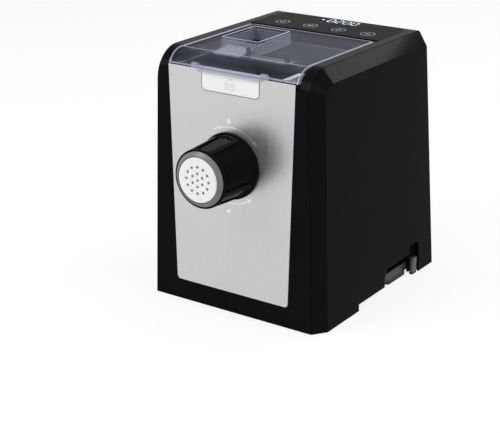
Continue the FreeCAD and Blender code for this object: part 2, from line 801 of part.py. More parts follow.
def make_barrel():
    """Extruder barrel: a neck through the bowl's wall, a flange and the collar for the ring."""
    piece = Piece("extruder_barrel")
    corners = [
        ("barrel_front", "barrel_bore_radius"),
        (BOWL_INNER_FRONT, "barrel_bore_radius"),
        (BOWL_INNER_FRONT, "barrel_neck_radius"),
        ("bowl_front", "barrel_neck_radius"),
        ("bowl_front", "barrel_flange_radius"),
        ("wall", "barrel_flange_radius"),
        ("wall", "barrel_radius"),
        ("barrel_front", "barrel_radius"),
    ]
    piece.turn(piece.outline("YZ_Plane", corners))
    piece.round_off("1", lambda edge: edge.BoundBox.YMax < number("barrel_front") + 0.1, "PartDesign::Chamfer")
    piece.finish(height="axis_height")


def make_seal():
    """Rubber seal in the bowl's rear wall, running back into the bulkhead."""
    piece = Piece("shaft_seal")
    bore = "shaft_radius + shaft_clearance"
    corners = [
        (BOWL_INNER_REAR, bore),
        (WALL_PLATE_REAR, bore),
        (WALL_PLATE_REAR, "seal_radius"),
        (BOWL_INNER_REAR, "seal_radius"),
    ]
    piece.turn(piece.outline("YZ_Plane", corners))
    piece.finish(height="axis_height")


# Locking ring, its satin insert and the shaping disc
def ring_radius(y):
    """Outer radius of the tapered grip at a place along the axis."""
    return f"(ring_rear_radius + ({y}) * (ring_rear_radius - ring_front_radius) / ring_front)"


def make_ring():
    """Locking ring: rear flange, tapered grip with shallow flutes, and a front lip."""
    piece = Piece("locking_ring")
    flange_front = "(-ring_clearance - ring_flange_width)"
    corners = [
        ("-ring_clearance", "ring_bore_radius"),
        ("-ring_clearance", "ring_flange_radius"),
        (f"{flange_front} + 1", "ring_flange_radius"),
        (flange_front, "ring_flange_radius - 1"),
        (flange_front, f"{ring_radius(flange_front)}"),
        ("-ring_front + 1.2", "ring_front_radius"),
        ("-ring_front", "ring_front_radius - 1.2"),
        ("-ring_front", "ring_mouth_radius"),
        ("-ring_front + ring_lip", "ring_mouth_radius"),
        ("-ring_front + ring_lip", "ring_bore_radius"),
    ]
    piece.turn(piece.outline("YZ_Plane", corners))
    rear = f"({flange_front} - 4)"
    front = "(-ring_front + 2.6)"
    flute = [
        (front, f"{ring_radius(front)} + 6"),
        (front, f"{ring_radius(front)} - 0.2"),
        (f"{front} + 3", f"{ring_radius(front)} - flute_depth"),
        (f"{rear} - 3", f"{ring_radius(rear)} - flute_depth"),
        (rear, f"{ring_radius(rear)} - 0.2"),
        (rear, f"{ring_radius(rear)} + 6"),
    ]
    cut = piece.turn(piece.outline("YZ_Plane", flute), "PartDesign::Groove", "flute_angle")
    piece.around([cut], "flute_count")
    piece.finish(height="axis_height")


def make_ring_insert():
    """Satin bezel that stands in front of the ring's lip and slopes in to the disc."""
    piece = Piece("ring_insert")
    corners = [
        ("-ring_front", "ring_mouth_radius"),
        ("-ring_front", "ring_bevel_radius"),
        ("-ring_front - insert_proud", "ring_mouth_radius + insert_land"),
        ("-ring_front - insert_proud", "ring_mouth_radius"),
    ]
    piece.turn(piece.outline("YZ_Plane", corners))
    piece.finish(height="axis_height")


def make_disc():
    """Shaping disc: a flanged round die with two circles of holes and one in the middle."""
    piece = Piece("shaping_disc")
    rear = "(barrel_front - gap)"
    flange = "(-ring_front + ring_lip + gap)"
    face = f"({rear} - disc_thickness)"
    corners = [
        (rear, "0"),
        (rear, "barrel_radius - 0.5"),
        (flange, "barrel_radius - 0.5"),
        (flange, "ring_mouth_radius - 2 * gap"),
        (f"{face} + 0.8", "ring_mouth_radius - 2 * gap"),
        (face, "ring_mouth_radius - 2 * gap - 0.8"),
        (face, "0"),
    ]
    piece.turn(piece.outline("YZ_Plane", corners))
    length = "disc_thickness + 2"
    piece.rod("XZ_Plane", "0", "0", "disc_hole_radius", f"{face} - 1", f"{face} - 1 + {length}", cut=True)
    inner = piece.rod("XZ_Plane", "0", "disc_hole_circle / 2", "disc_hole_radius", f"{face} - 1",
                      f"{face} - 1 + {length}", cut=True)
    outer = piece.rod("XZ_Plane", "0", "disc_hole_circle", "disc_hole_radius", f"{face} - 1",
                      f"{face} - 1 + {length}", cut=True)
    piece.around([inner], "disc_hole_count / 2")
    piece.around([outer], "disc_hole_count")
    piece.finish(height="axis_height")


# Screw, paddle and the drive train
def make_screw():
    """Extruder screw: a turned core, a helical flight and the long drive shaft behind."""
    piece = Piece("extruder_screw")
    front = "(barrel_front + 1.5)"
    corners = [
        (front, "0"),
        (f"{front} + 4", "screw_core_radius"),
        ("screw_rear", "screw_core_radius"),
        ("screw_rear", "shaft_radius"),
        ("shaft_rear", "shaft_radius"),
        ("shaft_rear", "0"),
    ]
    piece.turn(piece.outline("YZ_Plane", corners))
    start = f"({front} + 3)"
    flight = [
        (start, "screw_core_radius - 1.5"),
        (f"{start} + 6", "screw_core_radius - 1.5"),
        (f"{start} + 4.4", "screw_radius"),
        (f"{start} + 1.4", "screw_radius"),
    ]
    sketch = piece.outline("YZ_Plane", flight)
    helix = piece.body.newObject("PartDesign::AdditiveHelix", "screw_flight")
    helix.Profile = sketch
    helix.ReferenceAxis = (sketch, ["H_Axis"])
    helix.Mode = 0
    helix.setExpression("Pitch", size("screw_pitch"))
    helix.setExpression("Height", size(f"screw_rear - {start} - 8"))
    piece.made(helix)
    piece.finish(height="axis_height")


def make_paddle():
    """Mixing paddle: a hub on the shaft with one looped blade up and one forked blade down."""
    piece = Piece("mixing_paddle")
    front = "(screw_rear + gap)"
    rear = f"({BOWL_INNER_REAR} - 4)"
    half = "paddle_thickness / 2"
    blade = [
        (f"{front} + 14", "0"),
        (f"{rear} - 3", "0"),
        (f"{rear} - 3", "paddle_radius", "14"),
        (f"{front} + 14", "paddle_radius", "14"),
    ]
    piece.plate("YZ_Plane", blade, f"-{half}", half)
    window = rectangle(f"{front} + 24", "paddle_hub_radius + 8", f"{rear} - 13", "paddle_radius - 10", "8")
    piece.plate("YZ_Plane", window, f"-{half} - 1", f"{half} + 1", cut=True)
    for start, end in ((f"{front} + 2", f"{front} + 14"), (f"{rear} - 30", f"{rear} - 18")):
        prong = [(start, "-paddle_radius", "4"), (end, "-paddle_radius", "4"), (end, "0"), (start, "0")]
        piece.plate("YZ_Plane", prong, f"-{half}", half)
    piece.rod("XZ_Plane", "0", "0", "paddle_hub_radius", front, rear)
    piece.rod("XZ_Plane", "0", "0", "shaft_radius", f"{front} - 1", f"{rear} + 1", cut=True)
    piece.finish(height="axis_height")


def gear_face(teeth, module, turned=0.0):
    """A spur gear's outline: straight-sided teeth with play at the flanks and the tips."""
    pitch_radius = teeth * module / 2
    step = 2 * math.pi / teeth
    root = pitch_radius - 1.25 * module
    tip = pitch_radius + 0.85 * module
    widths = ((root, 0.34), (pitch_radius, 0.225), (tip, 0.11))
    points = []
    for tooth in range(teeth):
        middle = tooth * step + turned
        for radius, share in widths:
            angle = middle - share * step
            points.append(FreeCAD.Vector(radius * math.cos(angle), 0, radius * math.sin(angle)))
        for radius, share in reversed(widths):
            angle = middle + share * step
            points.append(FreeCAD.Vector(radius * math.cos(angle), 0, radius * math.sin(angle)))
    points.append(points[0])
    return Part.Face(Part.makePolygon(points))


def toothed(teeth, start, length, turned=0.0):
    """A gear's toothed rim as a solid along Y."""
    face = gear_face(int(number(teeth)), number("gear_module"), turned)
    face.translate(FreeCAD.Vector(0, number(start), 0))
    return face.extrude(FreeCAD.Vector(0, number(length), 0))


def round_bar(radius, start, end):
    """A round bar along Y about the local axis."""
    base = FreeCAD.Vector(0, number(start), 0)
    return Part.makeCylinder(number(radius), number(end) - number(start), base, FreeCAD.Vector(0, 1, 0))


def keep_shape(name, shape, height):
    """Keep a shape made of turned and toothed parts as a sub-part."""
    item = doc.addObject("Part::Feature", name)
    item.Shape = shape
    finish(item, name, height)


OUTPUT_START = f"({WALL_PLATE_REAR} + gear_room)"
FIRST_START = f"({OUTPUT_START} + gear_width + gear_room)"
CASE_REAR = f"({FIRST_START} + gear_width + gear_room)"


def make_gears():
    """Output wheel on the screw's shaft, double idler, and the motor's pinion and shaft."""
    up = math.pi / 2
    output = toothed("output_teeth", OUTPUT_START, "gear_width", up + math.pi / number("output_teeth"))
    output = output.fuse(round_bar("shaft_radius + 5", OUTPUT_START, f"{FIRST_START} - gap"))
    output = output.cut(round_bar("shaft_radius", f"{OUTPUT_START} - 1", f"{FIRST_START} + 1"))
    keep_shape("output_wheel", output, "axis_height")
    small_turn = up
    large_turn = -up
    idler = toothed("idler_small_teeth", OUTPUT_START, f"gear_width + gear_room", small_turn)
    idler = idler.fuse(toothed("idler_large_teeth", FIRST_START, "gear_width", large_turn))
    idler = idler.cut(round_bar("axle_radius + shaft_clearance", f"{OUTPUT_START} - 1", f"{CASE_REAR} + 1"))
    keep_shape("idler_gear", idler, IDLER_HEIGHT)
    motor_turn = up + math.pi / number("motor_teeth")
    pinion = toothed("motor_teeth", FIRST_START, "gear_width", motor_turn)
    pinion = pinion.fuse(round_bar("motor_shaft_radius", "motor_front - 12", FIRST_START))
    keep_shape("motor_shaft", pinion, MOTOR_HEIGHT)
    axle = round_bar("axle_radius", WALL_PLATE_REAR, CASE_REAR)
    keep_shape("idler_axle", axle, IDLER_HEIGHT)


def make_gear_case():
    """Gearbox case: a cup bolted to the bulkhead over both gear stages."""
    piece = Piece("gear_case")
    module = "gear_module"
    room = "gear_case_room"
    big = f"{module} * (output_teeth / 2 + 1) + {room}"
    middle = f"{module} * (idler_large_teeth / 2 + 1) + {room}"
    small = f"{module} * (motor_teeth / 2 + 1) + {room}"
    stations = ((big, "axis_height"), (middle, IDLER_HEIGHT), (small, MOTOR_HEIGHT))
    for radius, height in stations:
        piece.rod("XZ_Plane", "0", height, f"{radius} + 2.5", WALL_PLATE_REAR, f"{CASE_REAR} + 2.5")
    for radius, height in stations:
        piece.rod("XZ_Plane", "0", height, radius, f"{WALL_PLATE_REAR} - 1", CASE_REAR, cut=True)
    bore = "shaft_radius + bush_wall"
    piece.rod("XZ_Plane", "0", "axis_height", bore, f"{CASE_REAR} - 1", f"{CASE_REAR} + 4", cut=True)
    piece.finish()


def make_bush():
    """Bronze bush for the screw's shaft in the gear case."""
    piece = Piece("shaft_bush")
    end = f"({CASE_REAR} + 2.5)"
    bore = "shaft_radius + shaft_clearance"
    corners = [
        (CASE_REAR, bore), (f"{end} + 1.5", bore), (f"{end} + 1.5", "shaft_radius + bush_wall + 2"),
        (end, "shaft_radius + bush_wall + 2"), (end, "shaft_radius + bush_wall"),
        (CASE_REAR, "shaft_radius + bush_wall"),
    ]
    piece.turn(piece.outline("YZ_Plane", corners))
    piece.finish(height="axis_height")


def make_motor():
    """Motor can with end bells, lying under the bowl against the bulkhead."""
    piece = Piece("motor")
    rear = "wall_plate_front"
    front = "motor_front"
    corners = [
        (front, "motor_shaft_radius + gap"), (front, "motor_radius * 0.5"),
        (f"{front} + 8", "motor_radius * 0.72"), (f"{front} + 8", "motor_radius - 2"),
        (f"{front} + 10", "motor_radius"),
        (rear, "motor_radius"), (rear, "motor_boss_radius"),
        (f"{WALL_PLATE_REAR}", "motor_boss_radius"), (f"{WALL_PLATE_REAR}", "motor_shaft_radius + gap"),
    ]
    piece.turn(piece.outline("YZ_Plane", corners))
    slot = [
        (f"{front} + 22", "motor_radius - 3"), (f"{rear} - 22", "motor_radius - 3"),
        (f"{rear} - 22", "motor_radius + 3"), (f"{front} + 22", "motor_radius + 3"),
    ]
    cut = piece.turn(piece.outline("YZ_Plane", slot), "PartDesign::Groove", "14")
    piece.around([cut], "4")
    piece.finish(height=MOTOR_HEIGHT)


def make_motor_fan():
    """Cooling fan on the motor's front shaft end."""
    piece = Piece("motor_fan")
    rear = "(motor_front - gap)"
    piece.rod("XZ_Plane", "0", "0", "8", f"{rear} - 9", rear)
    blade = rectangle("-0.9", "7", "0.9", "motor_radius * 0.75")
    pad = piece.plate("XZ_Plane", blade, f"{rear} - 8", f"{rear} - 1.5")
    piece.around([pad], "7")
    piece.rod("XZ_Plane", "0", "0", "motor_shaft_radius", f"{rear} - 10", f"{rear} + 1", cut=True)
    piece.finish(height=MOTOR_HEIGHT)


# Lid, liquid inlet and hinge
def lid_profile(inset, low):
    """Side outline of the lid: a large round front edge and a small one at the hinge."""
    top = f"(lid_top - {inset})"
    return [
        (inset, low), (f"lid_rear - {inset}", low),
        (f"lid_rear - {inset}", top, f"lid_hinge_radius - {inset}"),
        (inset, top, f"lid_front_radius - {inset}"),
    ]


def make_lid():
    """Clear lid: a shallow moulded cap with the liquid inlet's hole in it."""
    piece = Piece("lid_shell")
    low = "(lid_top - lid_front_radius - 4)"
    edge = "(plate_top + seam)"
    piece.plate("YZ_Plane", lid_profile("0", low), "-lid_half_width", "lid_half_width")
    inner = "(lid_half_width - lid_wall)"
    piece.plate("YZ_Plane", lid_profile("lid_wall", f"{low} - 1"), f"-{inner}", inner, cut=True)
    piece.box(("-body_width", "-20", "0"), ("body_width", "lid_rear + 20", edge), cut=True)
    swing = ("body_width", "lid_rear + 20", f"{HINGE_Z} - heel")
    piece.box(("-body_width", HINGE_Y, "0"), swing, cut=True)
    piece.box(("inlet_left", "inlet_front", f"{edge} - 1"), ("inlet_right", "inlet_rear", "lid_top + 5"),
              cut=True, corner="2")
    piece.rod("YZ_Plane", HINGE_Y, HINGE_Z, "hinge_pin_radius", "-lid_half_width - 1", "lid_half_width + 1", cut=True)
    piece.finish()


def make_lift_tab():
    """Clear finger tab along the lid's front edge with a rounded knuckle at each end."""
    piece = Piece("lid_lift_tab")
    tab = [
        ("-tab_reach", "tab_bottom", "1"), ("-tab_reach + 2.6", "tab_bottom", "1"),
        ("-tab_reach + 2.6", "plate_top + seam"), ("tab_root", "plate_top + seam"),
        ("tab_root", "plate_top + seam + 3.4"), ("-tab_reach", "plate_top + seam + 3.4", "1.6"),
    ]
    piece.plate("YZ_Plane", tab, "-tab_half_width", "tab_half_width")
    for side in (-1, 1):
        inner = "tab_half_width"
        outer = "(tab_half_width + knuckle_length)"
        start, end = (f"-{outer}", f"-{inner}") if side < 0 else (inner, outer)
        centre_y = "(tab_root - knuckle_radius)"
        centre_z = "(plate_top + seam + knuckle_radius)"
        piece.rod("YZ_Plane", centre_y, centre_z, "knuckle_radius", start, end)
    piece.finish()


def make_inlet():
    """Liquid inlet: an open square chute under the lid's hole, with a sloping tray in front."""
    piece = Piece("liquid_inlet")
    top = "(lid_top - lid_wall)"
    low = f"({top} - inlet_depth)"
    wall = "inlet_wall"
    piece.box((f"inlet_left - {wall}", f"inlet_front - {wall}", low), (f"inlet_right + {wall}", f"inlet_rear + {wall}", top))
    piece.box(("inlet_left", "inlet_front", f"{low} - 1"), ("inlet_right", "inlet_rear", f"{top} + 1"), cut=True)
    tray = [
        (f"inlet_front - {wall} - tray_reach", f"{low} + 3"), (f"inlet_front - {wall}", f"{low} + 6"),
        (f"inlet_front - {wall}", f"{low} + 8"), (f"inlet_front - {wall} - tray_reach", f"{low} + 5"),
    ]
    piece.plate("YZ_Plane", tray, "inlet_left + 8", "inlet_right - 4")
    piece.finish()


def make_drip_rail():
    """Smoky drip rail under the lid with an open eye at its left end."""
    piece = Piece("drip_rail")
    top = "(lid_top - lid_wall)"
    low = "(lid_top - lid_wall - rail_drop)"
    body = rectangle("rail_left", "rail_front", "rail_right", "rail_front + rail_width", "3")
    piece.plate("XY_Plane", body, low, f"{low} + 4")
    eye = rectangle("rail_left + 2", "rail_front + 5", "rail_left + 20", "rail_front + rail_width - 4", "3")
    piece.plate("XY_Plane", eye, f"{low} - 1", f"{low} + 5", cut=True)
    for x in ("rail_left + 24", "rail_right - 8"):
        post = rectangle(x, "rail_front + 4", f"{x} + 4", "rail_front + 8")
        piece.plate("XY_Plane", post, f"{low} + 4", top)
    piece.finish()


def make_hinge():
    """Two steel pins in the lid's sides and the brackets that they turn in."""
    length = "(hinge_bracket_width + gap + lid_wall)"
    for side, name in ((-1, "left"), (1, "right")):
        outer = f"(lid_half_width + gap + hinge_bracket_width)"
        start, end = (f"-{outer}", f"-{outer} + {length}") if side < 0 else (f"{outer} - {length}", outer)
        pin = Piece(f"hinge_pin_{name}")
        pin.rod("YZ_Plane", HINGE_Y, HINGE_Z, "hinge_pin_radius", start, end)
        pin.finish()
        near = "(lid_half_width + gap)"
        start, end = (f"-{outer}", f"-{near}") if side < 0 else (near, outer)
        bracket = Piece(f"hinge_bracket_{name}")
        reach = "(hinge_pin_radius + 3.2)"
        corners = [
            (f"{HINGE_Y} - {reach}", "bowl_rim"), (f"{HINGE_Y} + {reach}", "bowl_rim"),
            (f"{HINGE_Y} + {reach}", INNER_TOP), (f"{HINGE_Y} - {reach}", INNER_TOP),
        ]
        bracket.plate("YZ_Plane", corners, start, end)
        bracket.rod("YZ_Plane", HINGE_Y, HINGE_Z, "hinge_pin_radius + pin_clearance", f"{start} - 1", f"{end} + 1", cut=True)
        bracket.finish()


# Control panel, its boards and switches
def make_control_panel():
    """Glossy control panel with rounded rear corners."""
    piece = Piece("control_panel")
    corners = [
        ("-panel_half_width", "lid_rear + seam"), ("panel_half_width", "lid_rear + seam"),
        ("panel_half_width", "panel_rear", "panel_corner"), ("-panel_half_width", "panel_rear", "panel_corner"),
    ]
    piece.plate("XY_Plane", corners, TRAY_TOP, PANEL_TOP)
    piece.finish()


def make_panel_tray():
    """Carrier under the control panel, seated under the fascia's edge."""
    piece = Piece("panel_tray")
    corners = [
        ("-panel_half_width - 5", "lid_rear + 1"), ("panel_half_width + 5", "lid_rear + 1"),
        ("panel_half_width + 5", "rear_cover_line - 9", "panel_corner"),
        ("-panel_half_width - 5", "rear_cover_line - 9", "panel_corner"),
    ]
    piece.plate("XY_Plane", corners, f"{INNER_TOP} - tray_thickness", INNER_TOP)
    window = rectangle("-display_half_width - 1", "display_row - 12", "display_half_width + 1", "display_row + 12", "2")
    piece.plate("XY_Plane", window, f"{INNER_TOP} - 6", f"{INNER_TOP} + 1", cut=True)
    for index in range(4):
        x = f"(({index} - 1.5) * key_pitch)"
        piece.rod("XY_Plane", x, "key_row", "key_radius - 1", f"{INNER_TOP} - 6", f"{INNER_TOP} + 1", cut=True)
    piece.finish()


def make_boards():
    """Display, touch and power boards with their larger components."""
    low = f"({INNER_TOP} - tray_thickness)"
    board = Piece("control_board")
    board.box(("-78", "lid_rear + 8", f"{low} - 1.6"), ("78", "rear_cover_line - 12", low))
    board.finish()
    display = Piece("display_module")
    display.box(("-display_half_width", "display_row - 10", low), ("display_half_width", "display_row + 10", f"{INNER_TOP}"))
    display.finish()
    sensors = Piece("touch_springs")
    sensors.body.AllowCompound = True
    for index in range(4):
        x = f"(({index} - 1.5) * key_pitch)"
        sensors.rod("XY_Plane", x, "key_row", "key_radius - 2.5", low, INNER_TOP)
    sensors.finish()
    power = Piece("power_board")
    power.box(("-62", "214", f"{FLOOR_TOP}"), ("62", "254", f"{FLOOR_TOP} + 1.6"))
    for x, y, across, tall in (("-50", "220", "22", "30"), ("-18", "222", "14", "18"), ("14", "220", "26", "22")):
        top = f"{FLOOR_TOP} + 1.6 + {tall}"
        power.box((x, y, f"{FLOOR_TOP} + 1.6"), (f"{x} + {across}", f"{y} + {across}", top), corner="1.5")
    power.finish()
    switch = Piece("lid_switch")
    switch.box(("60", "lid_rear + 2", f"{low} - 12"), ("80", "lid_rear + 7.6", low))
    switch.finish()
    front = Piece("ring_switch")
    front.box(("42", "wall", "axis_height + 18"), ("62", "bowl_front - gap", "axis_height + 28"), corner="1")
    front.finish()


def make_cord_bush():
    """Round bush in the rear cover where the cord would leave the housing."""
    piece = Piece("cord_bush")
    rear = depth_at("cord_row")
    piece.rod("XZ_Plane", "cord_column", "cord_row", "cord_hole_radius", f"{rear} - wall - 6", f"{rear} + 0.6")
    piece.rod("XZ_Plane", "cord_column", "cord_row", "cord_hole_radius + 2.5", f"{rear} - wall - 6", f"{rear} - wall - 2")
    piece.rod("XZ_Plane", "cord_column", "cord_row", "3.8", f"{rear} - wall - 8", f"{rear} + 4", cut=True)
    piece.finish()


# Release button and latch bracket
def make_button():
    """Release button: a smooth cap with a flange behind the steel plate and two guide pegs."""
    piece = Piece("release_button")
    face = "(-plate_proud - gap)"
    stop = f"({PLATE_BACK} + gap)"
    flange_rear = f"({stop} + flange_thickness)"
    piece.plate("XZ_Plane", button_corners("0", "button_top"), face, flange_rear)
    reach = "(button_half_width + flange_width)"
    low = "button_bottom - flange_width"
    flange = rectangle(f"-{reach}", low, reach, "button_top", "3")
    piece.plate("XZ_Plane", flange, stop, flange_rear)
    for side in (-1, 1):
        column = f"{side} * button_half_width / 2"
        piece.rod("XZ_Plane", column, "peg_row", "peg_radius", flange_rear, "peg_rear")
    piece.finish()


def make_latch_bracket():
    """Bracket on the bowl's front wall that guides the button's pegs."""
    piece = Piece("latch_bracket")
    half = "(button_half_width + 8)"
    corners = rectangle(f"-{half}", "button_bottom - 8", half, "bowl_rim - 5", "3")
    piece.plate("XZ_Plane", corners, "bowl_front - bracket_thickness", "bowl_front")
    for side in (-1, 1):
        column = f"{side} * button_half_width / 2"
        start = "bowl_front - bracket_thickness - 1"
        piece.rod("XZ_Plane", column, "peg_row", "peg_radius + gap", start, "bowl_front + 1", cut=True)
    piece.finish()


def make_screws():
    """Screws that hold the floor plate, as one group."""
    piece = Piece("floor_screws")
    piece.body.AllowCompound = True
    for x in ("-78", "78"):
        for y in ("60", "240"):
            piece.rod("XY_Plane", x, y, "3.6", "floor_plate_bottom - 2.2", "floor_plate_bottom")
    piece.finish()


make_floor_plate()
make_feet()
make_wall_plate()
make_saddle()
make_bowl()
make_barrel()
make_seal()
make_ring()
make_ring_insert()
make_disc()
make_screw()
make_paddle()
make_gears()
make_gear_case()
make_bush()
make_motor()
make_motor_fan()
make_lid()
make_lift_tab()
make_inlet()
make_drip_rail()
make_hinge()
make_control_panel()
make_panel_tray()
make_boards()
make_cord_bush()
make_button()
make_latch_bracket()
make_screws()


# Sub-parts are checked and written out
def write_parts():
    """Check every object, then write each sub-part to its own file."""
    doc.recompute()
    for item in doc.Objects:
        if "Invalid" in item.State or "Error" in item.State:
            raise ValueError(f"{item.Name} is {item.State}")
    os.makedirs("parts", exist_ok=True)
    for item in FINISHED:
        shape = item.Shape
        if shape.isNull() or not shape.isValid() or shape.Volume <= 0:
            raise ValueError(f"{item.Label} has no valid shape")
        shape.exportStep(f"parts/{item.Label}.step")
        print(item.Label, len(shape.Solids), round(shape.Volume))


write_parts()
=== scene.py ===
"""Dresses the pasta maker's CAD model: finishes, printed marks, small trim, lamps, floor and camera."""
import json
import logging
import math
from dataclasses import dataclass
from enum import Enum
from typing import Iterable

import bmesh
import bpy
from mathutils import Euler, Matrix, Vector


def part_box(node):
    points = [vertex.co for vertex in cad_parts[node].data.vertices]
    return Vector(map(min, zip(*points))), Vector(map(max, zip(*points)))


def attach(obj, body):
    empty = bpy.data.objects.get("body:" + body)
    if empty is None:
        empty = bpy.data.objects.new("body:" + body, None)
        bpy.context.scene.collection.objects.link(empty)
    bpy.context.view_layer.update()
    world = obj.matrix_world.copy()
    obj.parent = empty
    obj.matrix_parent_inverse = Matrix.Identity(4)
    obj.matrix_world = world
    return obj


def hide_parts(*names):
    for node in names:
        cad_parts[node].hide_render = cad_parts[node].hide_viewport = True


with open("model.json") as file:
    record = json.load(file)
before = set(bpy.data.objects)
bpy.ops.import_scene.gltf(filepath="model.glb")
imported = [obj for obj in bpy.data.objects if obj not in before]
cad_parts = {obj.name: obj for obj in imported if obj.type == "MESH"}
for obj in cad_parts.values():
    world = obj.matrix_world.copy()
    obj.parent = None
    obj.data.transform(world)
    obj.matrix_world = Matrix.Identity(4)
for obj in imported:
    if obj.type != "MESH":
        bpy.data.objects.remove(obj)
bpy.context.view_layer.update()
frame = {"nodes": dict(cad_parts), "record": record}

log = logging.getLogger("pasta_maker")

MM = 0.001
WELD_DISTANCE = 0.002
FLAT_ANGLE = 0.4
NORMAL_WEIGHT = 80
BUMP_DISTANCE = 0.05
RING_STEP = 9
FEWEST_STEPS = 6
RECORD = frame["record"]
SLOT_OF = {entry["node"]: entry["material_slot"] for entry in RECORD["subparts"]}
BODY_OF = {node: body for body, nodes in RECORD["behaviour"]["bodies"].items() for node in nodes}


class Side(Enum):
    """The two sides of the machine, as seen from the front."""

    LEFT = -1
    RIGHT = 1


class Grain(Enum):
    """How a finish's surface is worked: the stretch of its noise along X, Y and Z."""

    POLISHED = (60.0, 60.0, 60.0)
    MOULDED = (2600.0, 2600.0, 2600.0)
    BRUSHED = (2300.0, 2300.0, 16.0)
    TURNED = (90.0, 1800.0, 90.0)


def new_group(name: str, inputs: Iterable[tuple[str, str, object]], outputs: Iterable[tuple[str, str]]):
    """Makes a shader node group with its sockets.

    Args:
        name: the group's name.
        inputs: name, socket type and default value of each input.
        outputs: name and socket type of each output.

    Returns:
        The group, its input node and its output node.
    """
    group = bpy.data.node_groups.new(name, "ShaderNodeTree")
    for label, kind, value in inputs:
        socket = group.interface.new_socket(label, in_out="INPUT", socket_type=kind)
        socket.default_value = value
    for label, kind in outputs:
        group.interface.new_socket(label, in_out="OUTPUT", socket_type=kind)
    return group, group.nodes.new("NodeGroupInput"), group.nodes.new("NodeGroupOutput")


def make_grain_group() -> bpy.types.ShaderNodeTree:
    """Builds the fine surface grain that every finish uses.

    Returns:
        A group with Stretch, Low and High in, and Roughness and Height out.
    """
    group, taken, given = new_group(
        "surface_grain",
        [
            ("Stretch", "NodeSocketVector", (1.0, 1.0, 1.0)),
            ("Low", "NodeSocketFloat", 0.3),
            ("High", "NodeSocketFloat", 0.4),
        ],
        [("Roughness", "NodeSocketFloat"), ("Height", "NodeSocketFloat")],
    )
    place = group.nodes.new("ShaderNodeTexCoord")
    stretch = group.nodes.new("ShaderNodeVectorMath")
    stretch.operation = "MULTIPLY"
    noise = group.nodes.new("ShaderNodeTexNoise")
    noise.inputs["Scale"].default_value = 1.0
    noise.inputs["Detail"].default_value = 3.0
    spread = group.nodes.new("ShaderNodeMapRange")
    spread.inputs["From Min"].default_value = 0.3
    spread.inputs["From Max"].default_value = 0.7
    link = group.links.new
    link(place.outputs["Object"], stretch.inputs[0])
    link(taken.outputs["Stretch"], stretch.inputs[1])
    link(stretch.outputs["Vector"], noise.inputs["Vector"])
    link(noise.outputs["Fac"], spread.inputs["Value"])
    link(taken.outputs["Low"], spread.inputs["To Min"])
    link(taken.outputs["High"], spread.inputs["To Max"])
    link(spread.outputs["Result"], given.inputs["Roughness"])
    link(noise.outputs["Fac"], given.inputs["Height"])
    return group


def make_mottle_group() -> bpy.types.ShaderNodeTree:
    """Builds the slow change of shade that keeps a moulding from looking flat.

    Returns:
        A group with Colour, Second and Scale in, and Colour out.
    """
    group, taken, given = new_group(
        "slow_mottle",
        [
            ("Colour", "NodeSocketColor", (0.5, 0.5, 0.5, 1.0)),
            ("Second", "NodeSocketColor", (0.4, 0.4, 0.4, 1.0)),
            ("Scale", "NodeSocketFloat", 14.0),
        ],
        [("Colour", "NodeSocketColor")],
    )
    place = group.nodes.new("ShaderNodeTexCoord")
    noise = group.nodes.new("ShaderNodeTexNoise")
    noise.inputs["Detail"].default_value = 2.0
    mix = group.nodes.new("ShaderNodeMix")
    mix.data_type = "RGBA"
    link = group.links.new
    link(place.outputs["Object"], noise.inputs["Vector"])
    link(taken.outputs["Scale"], noise.inputs["Scale"])
    link(noise.outputs["Fac"], mix.inputs["Factor"])
    link(taken.outputs["Colour"], mix.inputs[6])
    link(taken.outputs["Second"], mix.inputs[7])
    link(mix.outputs[2], given.inputs["Colour"])
    return group


